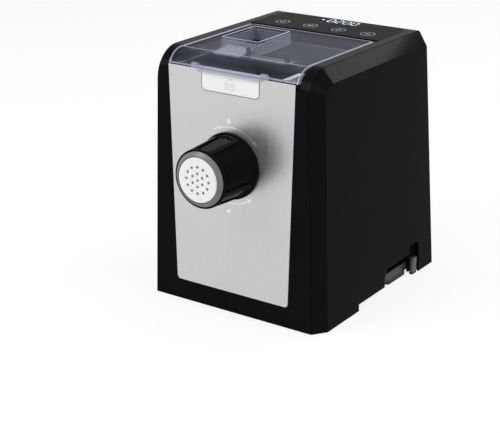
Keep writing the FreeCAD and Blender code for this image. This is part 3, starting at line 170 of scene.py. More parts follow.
@dataclass(frozen=True)
class Finish:
    """One finish of the machine: its colour, its gloss and the grain of its surface."""

    name: str
    colour: tuple[float, float, float]
    second: tuple[float, float, float]
    roughness: tuple[float, float]
    grain: Grain = Grain.MOULDED
    bump: float = 0.0
    metallic: float = 0.0
    specular: float = 0.5
    ior: float = 1.5
    mottle_scale: float = 14.0
    clear: tuple[float, float] | None = None
    glow: float = 0.0

    def build(self) -> bpy.types.Material:
        """Makes the finish's material.

        Returns:
            The new material.
        """
        material = bpy.data.materials.new(f"finish_{self.name}")
        material.use_nodes = True
        nodes = material.node_tree.nodes
        link = material.node_tree.links.new
        shader = nodes["Principled BSDF"]
        mottle = nodes.new("ShaderNodeGroup")
        mottle.node_tree = bpy.data.node_groups["slow_mottle"]
        mottle.inputs["Colour"].default_value = (*self.colour, 1.0)
        mottle.inputs["Second"].default_value = (*self.second, 1.0)
        mottle.inputs["Scale"].default_value = self.mottle_scale
        grain = nodes.new("ShaderNodeGroup")
        grain.node_tree = bpy.data.node_groups["surface_grain"]
        grain.inputs["Stretch"].default_value = self.grain.value
        grain.inputs["Low"].default_value, grain.inputs["High"].default_value = self.roughness
        link(mottle.outputs["Colour"], shader.inputs["Base Color"])
        link(grain.outputs["Roughness"], shader.inputs["Roughness"])
        if self.bump:
            bump = nodes.new("ShaderNodeBump")
            bump.inputs["Strength"].default_value = self.bump
            bump.inputs["Distance"].default_value = BUMP_DISTANCE * MM
            link(grain.outputs["Height"], bump.inputs["Height"])
            link(bump.outputs["Normal"], shader.inputs["Normal"])
        shader.inputs["Metallic"].default_value = self.metallic
        shader.inputs["Specular IOR Level"].default_value = self.specular
        shader.inputs["IOR"].default_value = self.ior
        if self.glow:
            shader.inputs["Emission Color"].default_value = (*self.colour, 1.0)
            shader.inputs["Emission Strength"].default_value = self.glow
        if self.clear:
            self._make_clear(material, shader)
        return material

    def _make_clear(self, material: bpy.types.Material, shader: bpy.types.Node) -> None:
        """Lets light through, less so where the wall is seen edge on.

        Args:
            material: the material being built.
            shader: its Principled BSDF node.
        """
        edge = material.node_tree.nodes.new("ShaderNodeLayerWeight")
        edge.inputs["Blend"].default_value = 0.2
        spread = material.node_tree.nodes.new("ShaderNodeMapRange")
        spread.inputs["To Min"].default_value, spread.inputs["To Max"].default_value = self.clear
        material.node_tree.links.new(edge.outputs["Facing"], spread.inputs["Value"])
        material.node_tree.links.new(spread.outputs["Result"], shader.inputs["Alpha"])


FINISHES = {
    "white_plastic": Finish("white_plastic", (0.84, 0.84, 0.835), (0.80, 0.80, 0.795), (0.26, 0.34),
                            bump=0.04),
    "black_gloss": Finish(
        "black_gloss", (0.004, 0.004, 0.005), (0.006, 0.006, 0.007), (0.07, 0.10),
        grain=Grain.POLISHED, ior=1.06,
    ),
    "panel_glass": Finish(
        "panel_glass", (0.003, 0.003, 0.004), (0.005, 0.005, 0.006), (0.05, 0.08),
        grain=Grain.POLISHED, ior=1.035,
    ),
    "black_satin": Finish("black_satin", (0.016, 0.016, 0.017), (0.022, 0.022, 0.023), (0.38, 0.48),
                          bump=0.10, specular=0.35),
    "steel_brushed": Finish(
        "steel_brushed", (0.62, 0.62, 0.625), (0.56, 0.56, 0.565), (0.24, 0.44),
        grain=Grain.BRUSHED, bump=0.3, metallic=0.95, mottle_scale=5.0,
    ),
    "steel_plain": Finish("steel_plain", (0.58, 0.58, 0.58), (0.50, 0.50, 0.50), (0.22, 0.34),
                          grain=Grain.TURNED, bump=0.1, metallic=1.0),
    "side_grey": Finish("side_grey", (0.05, 0.05, 0.053), (0.062, 0.062, 0.065), (0.30, 0.40), bump=0.08),
    "ring_satin": Finish("ring_satin", (0.11, 0.11, 0.115), (0.14, 0.14, 0.145), (0.26, 0.34), bump=0.05),
    "disc_white": Finish("disc_white", (0.78, 0.78, 0.79), (0.74, 0.74, 0.75), (0.30, 0.40), bump=0.05),
    "bowl_smoke": Finish("bowl_smoke", (0.042, 0.048, 0.066), (0.056, 0.063, 0.083), (0.16, 0.24),
                         grain=Grain.POLISHED),
    "lid_clear": Finish("lid_clear", (0.13, 0.135, 0.20), (0.17, 0.175, 0.25), (0.05, 0.08),
                        grain=Grain.POLISHED, clear=(0.01, 0.24)),
    # Pale, nearly opaque lilac: painted highlight for the bright lines along the lid's edges.
    "edge_pale": Finish("edge_pale", (0.40, 0.40, 0.54), (0.48, 0.48, 0.62), (0.12, 0.2),
                        grain=Grain.POLISHED, clear=(0.60, 0.9)),
    "rail_navy": Finish("rail_navy", (0.012, 0.016, 0.030), (0.018, 0.022, 0.038), (0.12, 0.18),
                        grain=Grain.POLISHED, ior=1.15),
    # A paler, less clear copy of the lid's plastic: painted highlight on the finger tab.
    "tab_pale": Finish("tab_pale", (0.34, 0.34, 0.46), (0.42, 0.42, 0.55), (0.10, 0.16),
                       grain=Grain.POLISHED, clear=(0.35, 0.85)),
    "inlet_frosted": Finish("inlet_frosted", (0.26, 0.27, 0.36), (0.33, 0.34, 0.44), (0.20, 0.32),
                            bump=0.08, clear=(0.30, 0.75)),
    "rubber_black": Finish("rubber_black", (0.014, 0.014, 0.014), (0.02, 0.02, 0.02), (0.62, 0.75),
                           bump=0.2, specular=0.3),
    "gear_white": Finish("gear_white", (0.80, 0.79, 0.74), (0.74, 0.73, 0.68), (0.34, 0.44), bump=0.06),
    "bronze": Finish("bronze", (0.55, 0.37, 0.18), (0.46, 0.31, 0.15), (0.30, 0.42), grain=Grain.TURNED,
                     bump=0.1, metallic=1.0),
    "aluminium": Finish("aluminium", (0.62, 0.62, 0.63), (0.54, 0.54, 0.55), (0.34, 0.46), bump=0.12,
                        metallic=1.0),
    "board_green": Finish("board_green", (0.03, 0.17, 0.08), (0.04, 0.21, 0.10), (0.30, 0.42), bump=0.05),
    "display_dark": Finish("display_dark", (0.012, 0.014, 0.018), (0.018, 0.020, 0.024), (0.10, 0.16),
                           grain=Grain.POLISHED),
    "print_pale": Finish("print_pale", (0.42, 0.44, 0.46), (0.48, 0.50, 0.52), (0.40, 0.50), bump=0.03),
    "print_grey": Finish("print_grey", (0.52, 0.52, 0.52), (0.58, 0.58, 0.58), (0.36, 0.46), bump=0.03),
    # Near black: painted shadow in the gap round the release button.
    "line_dark": Finish("line_dark", (0.05, 0.05, 0.055), (0.07, 0.07, 0.075), (0.40, 0.50), bump=0.03),
    # A brighter copy of the brushed steel: painted highlight on the pressed marks.
    "mark_pressed": Finish("mark_pressed", (0.86, 0.86, 0.86), (0.80, 0.80, 0.80), (0.20, 0.30),
                           grain=Grain.BRUSHED, metallic=0.8),
    "digit_lit": Finish("digit_lit", (0.70, 0.88, 1.0), (0.62, 0.82, 1.0), (0.40, 0.50), glow=0.9),
}


def material_for(slot: str) -> bpy.types.Material:
    """The material of a finish, made the first time that it is asked for.

    Args:
        slot: the name of the finish.

    Returns:
        The material.
    """
    return bpy.data.materials.get(f"finish_{slot}") or FINISHES[slot].build()


def finish_piece(bm: bmesh.types.BMesh, name: str, slot: str, body: str, sharp: float = 35.0,
                 finish: str = "") -> bpy.types.Object:
    """Turns a finished bmesh into a dressed object that rides on a body.

    Args:
        bm: the mesh being worked on; it is freed here.
        name: the piece's name.
        slot: the finish, and the record's slot where it has one of that name.
        body: the CAD body that carries the piece.
        sharp: edges that turn more than this many degrees stay sharp.
        finish: the finish, where it isn't the one named as the slot.

    Returns:
        The new object.
    """
    limit = math.radians(sharp)
    for face in bm.faces:
        face.smooth = True
    for edge in bm.edges:
        edge.smooth = len(edge.link_faces) == 2 and edge.calc_face_angle(0.0) < limit
    mesh = bpy.data.meshes.new(name)
    bm.to_mesh(mesh)
    bm.free()
    piece = bpy.data.objects.new(name, mesh)
    bpy.context.collection.objects.link(piece)
    mesh.materials.append(material_for(finish or slot))
    flatten = piece.modifiers.new("even_normals", "WEIGHTED_NORMAL")
    flatten.keep_sharp = True
    flatten.weight = NORMAL_WEIGHT
    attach(piece, body)
    log.info("%s: %d faces on %s", name, len(mesh.polygons), body)
    return piece


def dress_node(node: str, edge_radius: float = 0.0, sharp: float = 35.0, segments: int = 2,
               finish: str = "") -> bpy.types.Object:
    """Shows a CAD node as one smooth moulding with softened edges.

    Args:
        node: the CAD node that the piece stands for.
        edge_radius: width of the softened edges in millimetres, or 0 for none.
        sharp: edges that turn more than this many degrees count as edges.
        segments: number of steps across a softened edge.
        finish: the finish, where it isn't the one named as the node's slot.

    Returns:
        The new object, which replaces the node.
    """
    bm = bmesh.new()
    bm.from_mesh(frame["nodes"][node].data)
    bmesh.ops.remove_doubles(bm, verts=bm.verts, dist=WELD_DISTANCE * MM)
    bmesh.ops.dissolve_limit(bm, angle_limit=math.radians(FLAT_ANGLE), verts=bm.verts, edges=bm.edges)
    if edge_radius:
        limit = math.radians(sharp)
        corners = [e for e in bm.edges if len(e.link_faces) == 2 and e.calc_face_angle(0.0) > limit]
        bmesh.ops.bevel(
            bm, geom=corners, offset=edge_radius * MM, affect="EDGES", segments=segments, profile=0.5,
            material=-1, clamp_overlap=True,
        )
    piece = finish_piece(bm, f"{node}_skin", SLOT_OF[node], BODY_OF[node], sharp, finish)
    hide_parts(node)
    return piece


@dataclass(frozen=True)
class DrawingFace:
    """A flat face of the machine that marks are printed or pressed on, drawn in millimetres."""

    origin: Vector
    across: Vector
    up: Vector
    sunk: float = 0.03
    proud: float = 0.06

    def point(self, u: float, v: float, out: float = 0.0) -> Vector:
        """A place on the face, or that many millimetres out of it."""
        return self.origin + (self.across * u + self.up * v + self.across.cross(self.up) * out) * MM

    def slab(self, bm: bmesh.types.BMesh, corners: Iterable[tuple[float, float]]) -> None:
        """Adds a flat plate with the given outline.

        Args:
            bm: the mesh to add to.
            corners: the outline's corners, anticlockwise.
        """
        base = bm.faces.new([bm.verts.new(self.point(u, v, -self.sunk)) for u, v in corners])
        grown = bmesh.ops.extrude_face_region(bm, geom=[base])
        moved = [item for item in grown["geom"] if isinstance(item, bmesh.types.BMVert)]
        rise = self.across.cross(self.up) * (self.sunk + self.proud) * MM
        bmesh.ops.translate(bm, verts=moved, vec=rise)

    def stroke(self, bm: bmesh.types.BMesh, start: tuple[float, float], end: tuple[float, float],
               width: float) -> None:
        """Adds a straight bar from one place to another.

        Args:
            bm: the mesh to add to.
            start: where the bar's centre line starts.
            end: where it ends.
            width: the bar's width.
        """
        run = Vector((end[0] - start[0], end[1] - start[1]))
        aside = Vector((-run.y, run.x)).normalized() * width / 2
        self.slab(bm, [
            (start[0] - aside.x, start[1] - aside.y), (end[0] - aside.x, end[1] - aside.y),
            (end[0] + aside.x, end[1] + aside.y), (start[0] + aside.x, start[1] + aside.y),
        ])

    def band(self, bm: bmesh.types.BMesh, centre: tuple[float, float], radius: float, width: float,
             start: float = 0.0, sweep: float = 360.0) -> None:
        """Adds a curved bar round a centre.

        Args:
            bm: the mesh to add to.
            centre: the arc's centre.
            radius: the radius of its centre line.
            width: the bar's width.
            start: the angle in degrees where it starts, from the across direction.
            sweep: the angle in degrees that it covers, anticlockwise; 360 closes it.
        """
        along = Vector((math.cos(math.radians(start)), math.sin(math.radians(start))))
        ends = []
        for reach, out in ((-1, -self.sunk), (1, -self.sunk), (1, self.proud), (-1, self.proud)):
            far = radius + reach * width / 2
            ends.append(bm.verts.new(self.point(centre[0] + along.x * far, centre[1] + along.y * far, out)))
        face = bm.faces.new(ends)
        edges = list(face.edges)
        closed = sweep >= 360.0
        geometry = [*ends, *edges] if closed else [*ends, *edges, face]
        if closed:
            bmesh.ops.delete(bm, geom=[face], context="FACES_ONLY")
        bmesh.ops.spin(
            bm, geom=geometry, cent=self.point(*centre), axis=self.across.cross(self.up), dvec=(0, 0, 0),
            angle=math.radians(sweep), steps=max(FEWEST_STEPS, round(sweep / RING_STEP)), use_merge=closed,
            use_duplicate=False,
        )

    def frame(self, bm: bmesh.types.BMesh, low: tuple[float, float], high: tuple[float, float],
              radius: float, width: float, open_top: bool = False) -> None:
        """Adds a line round a rectangle with rounded corners.

        Args:
            bm: the mesh to add to.
            low: the rectangle's lower left corner, on the line's middle.
            high: its upper right corner.
            radius: the corner radius.
            width: the line's width.
            open_top: whether the upper side and its corners are left out.
        """
        x0, y0 = low
        x1, y1 = high
        top = y1 if open_top else y1 - radius
        self.stroke(bm, (x0 + radius, y0), (x1 - radius, y0), width)
        self.stroke(bm, (x0, top), (x0, y0 + radius), width)
        self.stroke(bm, (x1, y0 + radius), (x1, top), width)
        turns = [(x0 + radius, y0 + radius, 180), (x1 - radius, y0 + radius, 270)]
        if not open_top:
            self.stroke(bm, (x1 - radius, y1), (x0 + radius, y1), width)
            turns += [(x1 - radius, y1 - radius, 0), (x0 + radius, y1 - radius, 90)]
        for x, y, start in turns:
            self.band(bm, (x, y), radius, width, start, 90)

    def marks(self, bm: bmesh.types.BMesh, name: str, slot: str, body: str) -> bpy.types.Object:
        """Finishes the marks drawn so far as one piece, with its normals turned out."""
        bmesh.ops.recalc_face_normals(bm, faces=bm.faces)
        return finish_piece(bm, name, slot, body)


def front_face(node: str, height: float = 0.0) -> DrawingFace:
    """The front of a node, drawn in X and Z in millimetres from a height."""
    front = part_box(node)[0][1]
    return DrawingFace(Vector((0, front, height * MM)), Vector((1, 0, 0)), Vector((0, 0, 1)))


def top_face(node: str) -> DrawingFace:
    """The top of a node, drawn in X and Y in millimetres."""
    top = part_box(node)[1][2]
    return DrawingFace(Vector((0, 0, top)), Vector((1, 0, 0)), Vector((0, 1, 0)))


@dataclass
class Housing:
    """The black housing: fascia, side panels, rear cover, floor plate and feet."""

    edge_radius: float = 0.45
    edge_sharp: float = 24.0
    foot_edge: float = 0.3
    shells: tuple[str, ...] = ("front_fascia", "left_side_panel", "right_side_panel", "rear_cover")
    underside: tuple[str, ...] = (
        "floor_plate", "front_foot_left", "front_foot_right", "rear_foot_left", "rear_foot_right",
        "side_leg_left", "side_leg_right", "leg_pad_left", "leg_pad_right", "cord_bush",
    )

    def build(self) -> None:
        """Dresses the shells and what the machine stands on."""
        for node in self.shells:
            dress_node(node, self.edge_radius, sharp=self.edge_sharp)
        for node in self.underside:
            dress_node(node, self.foot_edge)


@dataclass
class SteelFront:
    """The brushed steel plate with the pressed marks round the locking ring, painted brighter than the steel
    as their highlight.
    """

    edge_radius: float = 0.35
    line: float = 1.3
    arc_radius: float = 44.5
    lock_arc: tuple[float, float] = (46.0, 76.0)
    open_arc: tuple[float, float] = (266.0, 36.0)
    arrow_length: float = 6.4
    arrow_width: float = 5.6
    lock_place: tuple[float, float] = (-2.0, 50.0)
    open_place: tuple[float, float] = (-3.0, -55.0)
    lock_width: float = 4.8
    lock_height: float = 3.6
    shackle_radius: float = 1.6
    shackle_line: float = 0.7
    shackle_shift: float = 2.0

    def build(self) -> None:
        """Dresses the plate and presses its marks."""
        dress_node("front_plate", self.edge_radius)
        self.make_marks()

    def make_marks(self) -> None:
        """Presses two turning arrows and two padlocks round the locking ring, in a brighter copy of the
        steel that paints their highlight.
        """
        ring_low, ring_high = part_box("locking_ring")
        height = (ring_low[2] + ring_high[2]) / 2 / MM
        face = front_face("front_plate", height)
        bm = bmesh.new()
        face.band(bm, (0, 0), self.arc_radius, self.line, *self.lock_arc)
        self.add_arrow(face, bm, self.lock_arc[0], -1)
        face.band(bm, (0, 0), self.arc_radius, self.line, *self.open_arc)
        self.add_arrow(face, bm, sum(self.open_arc), 1)
        self.add_padlock(face, bm, self.lock_place, True)
        self.add_padlock(face, bm, self.open_place, False)
        face.marks(bm, "plate_marks", "mark_pressed", "housing")

    def add_arrow(self, face: DrawingFace, bm: bmesh.types.BMesh, angle: float, way: int) -> None:
        """Adds an arrowhead at the end of an arc.

        Args:
            face: the face that is drawn on.
            bm: the mesh to add to.
            angle: where the arc ends, in degrees.
            way: 1 where the arrow points anticlockwise, -1 where it points clockwise.
        """
        turn = math.radians(angle)
        out = Vector((math.cos(turn), math.sin(turn)))
        ahead = Vector((-out.y, out.x)) * way
        root = out * self.arc_radius
        tip = root + ahead * self.arrow_length
        inner = root - out * self.arrow_width / 2
        outer = root + out * self.arrow_width / 2
        face.slab(bm, [tuple(inner), tuple(outer), tuple(tip)])

    def add_padlock(self, face: DrawingFace, bm: bmesh.types.BMesh, place: tuple[float, float],
                    locked: bool) -> None:
        """Adds a padlock, shut or open.

        Args:
            face: the face that is drawn on.
            bm: the mesh to add to.
            place: the middle of the padlock's body.
            locked: whether the shackle is shut.
        """
        x, z = place
        half, rise = self.lock_width / 2, self.lock_height / 2
        face.stroke(bm, (x - half, z), (x + half, z), self.lock_height)
        shift = 0.0 if locked else self.shackle_shift
        face.band(bm, (x + shift, z + rise), self.shackle_radius, self.shackle_line, 0, 180)


@dataclass
class ReleaseButton:
    """The white press button above the ring, with the painted shadow in the gap round it and its lid symbol.
    """

    line: float = 0.7
    edge_radius: float = 0.35
    symbol_width: float = 14.0
    symbol_base: float = 272.6
    symbol_top: float = 279.6
    symbol_bars: tuple[float, ...] = (270.0, 267.0)
    flange: float = 3.0
    gap: float = 0.8
    corner: float = 5.4

    def build(self) -> None:
        """Dresses the button and prints its symbol."""
        dress_node("release_button", self.edge_radius)
        face = front_face("release_button")
        half = self.symbol_width / 2
        bm = bmesh.new()
        corners = [(-half, self.symbol_base), (half, self.symbol_base), (0.0, self.symbol_top)]
        for index, corner in enumerate(corners):
            face.stroke(bm, corner, corners[(index + 1) % 3], self.line)
        for row in self.symbol_bars:
            face.stroke(bm, (-half, row), (half, row), self.line)
        face.marks(bm, "button_symbol", "print_grey", "button")
        self.make_gap_shadow()

    def make_gap_shadow(self) -> None:
        """Paints the shadow in the gap that parts the button from the steel plate, as a dark line."""
        low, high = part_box("release_button")
        half = high[0] / MM - self.flange + self.gap / 2
        foot = low[2] / MM + self.flange - self.gap / 2
        top = high[2] / MM
        face = front_face("front_plate")
        bm = bmesh.new()
        face.frame(bm, (-half, foot), (half, top), self.corner, self.gap, open_top=True)
        face.marks(bm, "button_outline", "line_dark", "housing")


@dataclass
class Extruder:
    """The locking ring with its satin cone, the shaping disc, the barrel and the screw."""

    ring_edge: float = 0.5
    ring_sharp: float = 24.0
    edges: tuple[tuple[str, float], ...] = (
        ("ring_insert", 0.0), ("shaping_disc", 0.25), ("extruder_barrel", 0.3), ("extruder_screw", 0.25),
        ("shaft_seal", 0.0),
    )

    def build(self) -> None:
        """Dresses the ring, the disc and what lies behind them."""
        dress_node("locking_ring", self.ring_edge, sharp=self.ring_sharp)
        for node, edge_radius in self.edges:
            dress_node(node, edge_radius)


@dataclass
class MixingBowl:
    """The smoky bowl, its paddle and the arch that it rests on."""

    edges: tuple[tuple[str, float], ...] = (
        ("mixing_bowl", 0.5), ("mixing_paddle", 0.9), ("bowl_saddle", 0.3), ("bulkhead", 0.3),
    )

    def build(self) -> None:
        """Dresses the bowl, the paddle and what carries them."""
        for node, edge_radius in self.edges:
            dress_node(node, edge_radius)


@dataclass
class Lid:
    """The clear lid with its finger tab, liquid inlet and drip rail."""

    shell_sharp: float = 24.0
    part_edge: float = 0.5
    inlet_edge: float = 0.4
    hinge_edge: float = 0.2
    rim_width: float = 1.1
    rim_inset: float = 3.4
    rim_corner: float = 4.0
    front_radius: float = 25.0
    edge_inset: float = 1.3
    edge_width: float = 1.3
    edge_rise: float = 0.2
    # Where the painted highlight line along the lid's front sits, and its size.
    front_highlight_lift: float = 1.2
    front_highlight_width: float = 1.5
    inlet_length: float = 65.0
    inlet_wall: float = 2.0
    inlet_rim: float = 1.8
    inlet_corner: float = 2.6
    edge_depth: float = 0.5
    front_highlight_depth: float = 0.4

    def build(self) -> None:
        """Dresses the lid and adds its raised lines, in a pale finish that paints the highlights along the
        lid's edges.
        """
        dress_node("lid_shell", sharp=self.shell_sharp)
        # The finger tab gets a paler copy of the lid's clear plastic, as a painted highlight.
        dress_node("lid_lift_tab", self.part_edge, finish="tab_pale")
        dress_node("liquid_inlet", self.inlet_edge)
        dress_node("drip_rail", self.part_edge, finish="rail_navy")
        for side in Side:
            dress_node(f"hinge_pin_{side.name.lower()}", self.hinge_edge)
            dress_node(f"hinge_bracket_{side.name.lower()}", self.hinge_edge)
        self.make_rims()

    def make_rims(self) -> None:
        """Adds the raised line round the flat top, and the frame round the inlet, both in the pale finish
        that paints their highlights.
        """
        low, high = (corner / MM for corner in map(Vector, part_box("lid_shell")))
        face = top_face("lid_shell")
        bm = bmesh.new()
        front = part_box("front_plate")[0][1] / MM + self.front_radius
        rear = high.y - 2 * self.rim_inset
        face.frame(bm, (low.x + self.rim_inset, front), (high.x - self.rim_inset, rear), self.rim_corner,
                   self.rim_width)
        cup_low, cup_high = (corner / MM for corner in map(Vector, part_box("liquid_inlet")))
        reach = self.inlet_wall - self.inlet_rim / 2
        face.frame(bm, (cup_low.x + reach, cup_high.y - reach - self.inlet_length - self.inlet_rim),
                   (cup_high.x - reach, cup_high.y - reach), self.inlet_corner, self.inlet_rim)
        face.marks(bm, "lid_lines", "edge_pale", "lid")
        self.make_edges(low, high)

    def make_edges(self, low: Vector, high: Vector) -> None:
        """Adds the painted highlight that follows the lid's outline on each side, and the painted highlight
        line along its front.

        Args:
            low: the lower corner of the lid's box in millimetres.
            high: the upper corner of the lid's box in millimetres.
        """
        bm = bmesh.new()
        turn = self.front_radius - self.edge_width / 2 + self.edge_rise
        left_off = math.asin(max(0.0, self.front_radius - high.z + low.z) / self.front_radius)
        centre_y = low.y + self.front_radius * math.cos(left_off)
        centre_z = high.z - self.front_radius
        rear = high.y - self.front_radius / 3
        for side in Side:
            x = side.value * (high.x - self.edge_inset)
            face = DrawingFace(Vector((x * MM, 0, 0)), Vector((0, 1, 0)), Vector((0, 0, 1)), self.edge_depth,
                               self.edge_depth)
            face.band(bm, (centre_y, centre_z), turn, self.edge_width, 90, 90 - math.degrees(left_off))
            face.stroke(bm, (centre_y, centre_z + turn), (rear, centre_z + turn), self.edge_width)
        # The front line is a painted highlight along the foot of the lid's rounded front.
        front_highlight_angle = left_off + self.front_highlight_lift / self.front_radius
        place = Vector((0, centre_y - turn * math.cos(front_highlight_angle), centre_z + turn * math.sin(front_highlight_angle))) * MM
        face = DrawingFace(place, Vector((1, 0, 0)), Vector((0, 0, 1)), self.front_highlight_depth, self.front_highlight_depth)
        reach = high.x - self.edge_inset
        face.stroke(bm, (-reach, 0.0), (reach, 0.0), self.front_highlight_width)
        face.marks(bm, "lid_edges", "edge_pale", "lid")


@dataclass
class ControlPanel:
    """The glossy panel with its touch keys and the lit display."""

    key_pitch: float = 39.5
    key_row: float = 89.15
    key_radius: float = 8.75
    line: float = 0.55
    panel_edge: float = 0.4
    tray_edge: float = 0.2
    power_radius: float = 3.0
    power_gap: tuple[float, float] = (125.0, 290.0)
    power_bar: tuple[float, float] = (0.8, 4.2)
    play_length: tuple[float, float] = (-3.4, 0.4)
    play_half: float = 2.4
    pause_steps: tuple[float, ...] = (1.8, 3.2)
    dial_radius: float = 3.2
    dial_hands: tuple[float, float] = (2.2, 1.6)
    menu_half: float = 3.4
    menu_steps: tuple[float, ...] = (-2.0, 0.0, 2.0)
    digit_width: float = 7.0
    digit_height: float = 14.0
    digit_pitch: float = 11.0
    digit_row: float = 119.0
    digit_left: float = -16.0
    digit_line: float = 0.95
    digit_gap: float = 0.9
    sign_place: tuple[float, float] = (-24.0, 126.0)
    sign_half: float = 1.5
    sign_line: float = 1.4
    shown: tuple[str, ...] = ("abcdef", "abged", "abcdef", "abcdef")

    def build(self) -> None:
        """Dresses the panel and prints its keys and digits."""
        dress_node("control_panel", self.panel_edge, finish="panel_glass")
        dress_node("panel_tray", self.tray_edge)
        self.make_keys()
        self.make_digits()

    def make_keys(self) -> None:
        """Prints the four touch keys with their symbols."""
        face = top_face("control_panel")
        bm = bmesh.new()
        for index, draw in enumerate((self.draw_power, self.draw_start, self.draw_scale, self.draw_menu)):
            x = (index - 1.5) * self.key_pitch
            face.band(bm, (x, self.key_row), self.key_radius - self.line / 2, self.line)
            draw(face, bm, x)
        face.marks(bm, "key_symbols", "print_pale", "housing")

    def draw_power(self, face: DrawingFace, bm: bmesh.types.BMesh, x: float) -> None:
        """Draws the stand-by symbol."""
        low, high = self.power_bar
        face.band(bm, (x, self.key_row), self.power_radius, self.line, *self.power_gap)
        face.stroke(bm, (x, self.key_row + low), (x, self.key_row + high), self.line)

    def draw_start(self, face: DrawingFace, bm: bmesh.types.BMesh, x: float) -> None:
        """Draws the start and pause symbol."""
        rear, tip = self.play_length
        low, high = self.key_row - self.play_half, self.key_row + self.play_half
        face.slab(bm, [(x + rear, low), (x + tip, self.key_row), (x + rear, high)])
        for step in self.pause_steps:
            face.stroke(bm, (x + step, low), (x + step, high), self.line)

    def draw_scale(self, face: DrawingFace, bm: bmesh.types.BMesh, x: float) -> None:
        """Draws the symbol for weighing or time: a small dial."""
        up, right = self.dial_hands
        face.band(bm, (x, self.key_row), self.dial_radius, self.line)
        face.stroke(bm, (x, self.key_row), (x, self.key_row + up), self.line)
        face.stroke(bm, (x, self.key_row), (x + right, self.key_row), self.line)

    def draw_menu(self, face: DrawingFace, bm: bmesh.types.BMesh, x: float) -> None:
        """Draws the symbol for the programme: three bars."""
        for step in self.menu_steps:
            row = self.key_row + step
            face.stroke(bm, (x - self.menu_half, row), (x + self.menu_half, row), self.line)

    def make_digits(self) -> None:
        """Lights the four digits and the small sign beside them."""
        face = top_face("control_panel")
        bm = bmesh.new()
        for index, lit in enumerate(self.shown):
            self.draw_digit(face, bm, self.digit_left + index * self.digit_pitch, lit)
        left, row = self.sign_place
        face.stroke(bm, (left, row - self.sign_half), (left, row + self.sign_half), self.sign_line)
        face.stroke(bm, (left - self.sign_half, row), (left + self.sign_half, row), self.sign_line)
        face.marks(bm, "display_digits", "digit_lit", "housing")

    def draw_digit(self, face: DrawingFace, bm: bmesh.types.BMesh, x: float, lit: str) -> None:
        """Draws one digit from its lit bars.

        Args:
            face: the face that is drawn on.
            bm: the mesh to add to.
            x: the digit's left side.
            lit: letters of the lit bars, from a at the top round to f, with g in the middle.
        """
        low = self.digit_row
        middle = low + self.digit_height / 2
        high = low + self.digit_height
        right = x + self.digit_width
        gap = self.digit_gap
        bars = {
            "a": ((x + gap, high), (right - gap, high)),
            "b": ((right, high - gap), (right, middle + gap)),
            "c": ((right, middle - gap), (right, low + gap)),
            "d": ((x + gap, low), (right - gap, low)),
            "e": ((x, middle - gap), (x, low + gap)),
            "f": ((x, high - gap), (x, middle + gap)),
            "g": ((x + gap, middle), (right - gap, middle)),
        }
        for letter in lit:
            start, end = bars[letter]
            face.stroke(bm, start, end, self.digit_line)


@dataclass
class InnerParts:
    """Parts inside the housing that only the open lid, the vents or the grips let one see."""

    def build(self) -> None:
        """Gives every CAD node that still shows its finish."""
        for name, node in frame["nodes"].items():
            if not node.hide_render:
                node.data.materials.clear()
                node.data.materials.append(material_for(SLOT_OF[name]))
                log.info("%s: finished as %s", name, SLOT_OF[name])


@dataclass(frozen=True)
class Lamp:
    """A soft box: a flat light of a given size that faces a given place."""

    name: str
    place: tuple[float, float, float]
    aim: tuple[float, float, float]
    size: tuple[float, float]
    power: float

    def build(self) -> bpy.types.Object:
        """Hangs the lamp.

        Returns:
            The lamp's object.
        """
        light = bpy.data.lights.new(self.name, "AREA")
        light.shape = "RECTANGLE"
        light.size, light.size_y = self.size
        light.energy = self.power
        lamp = bpy.data.objects.new(self.name, light)
        lamp.location = self.place
        lamp.rotation_euler = (Vector(self.aim) - Vector(self.place)).to_track_quat("-Z", "Y").to_euler()
        bpy.context.collection.objects.link(lamp)
        return lamp


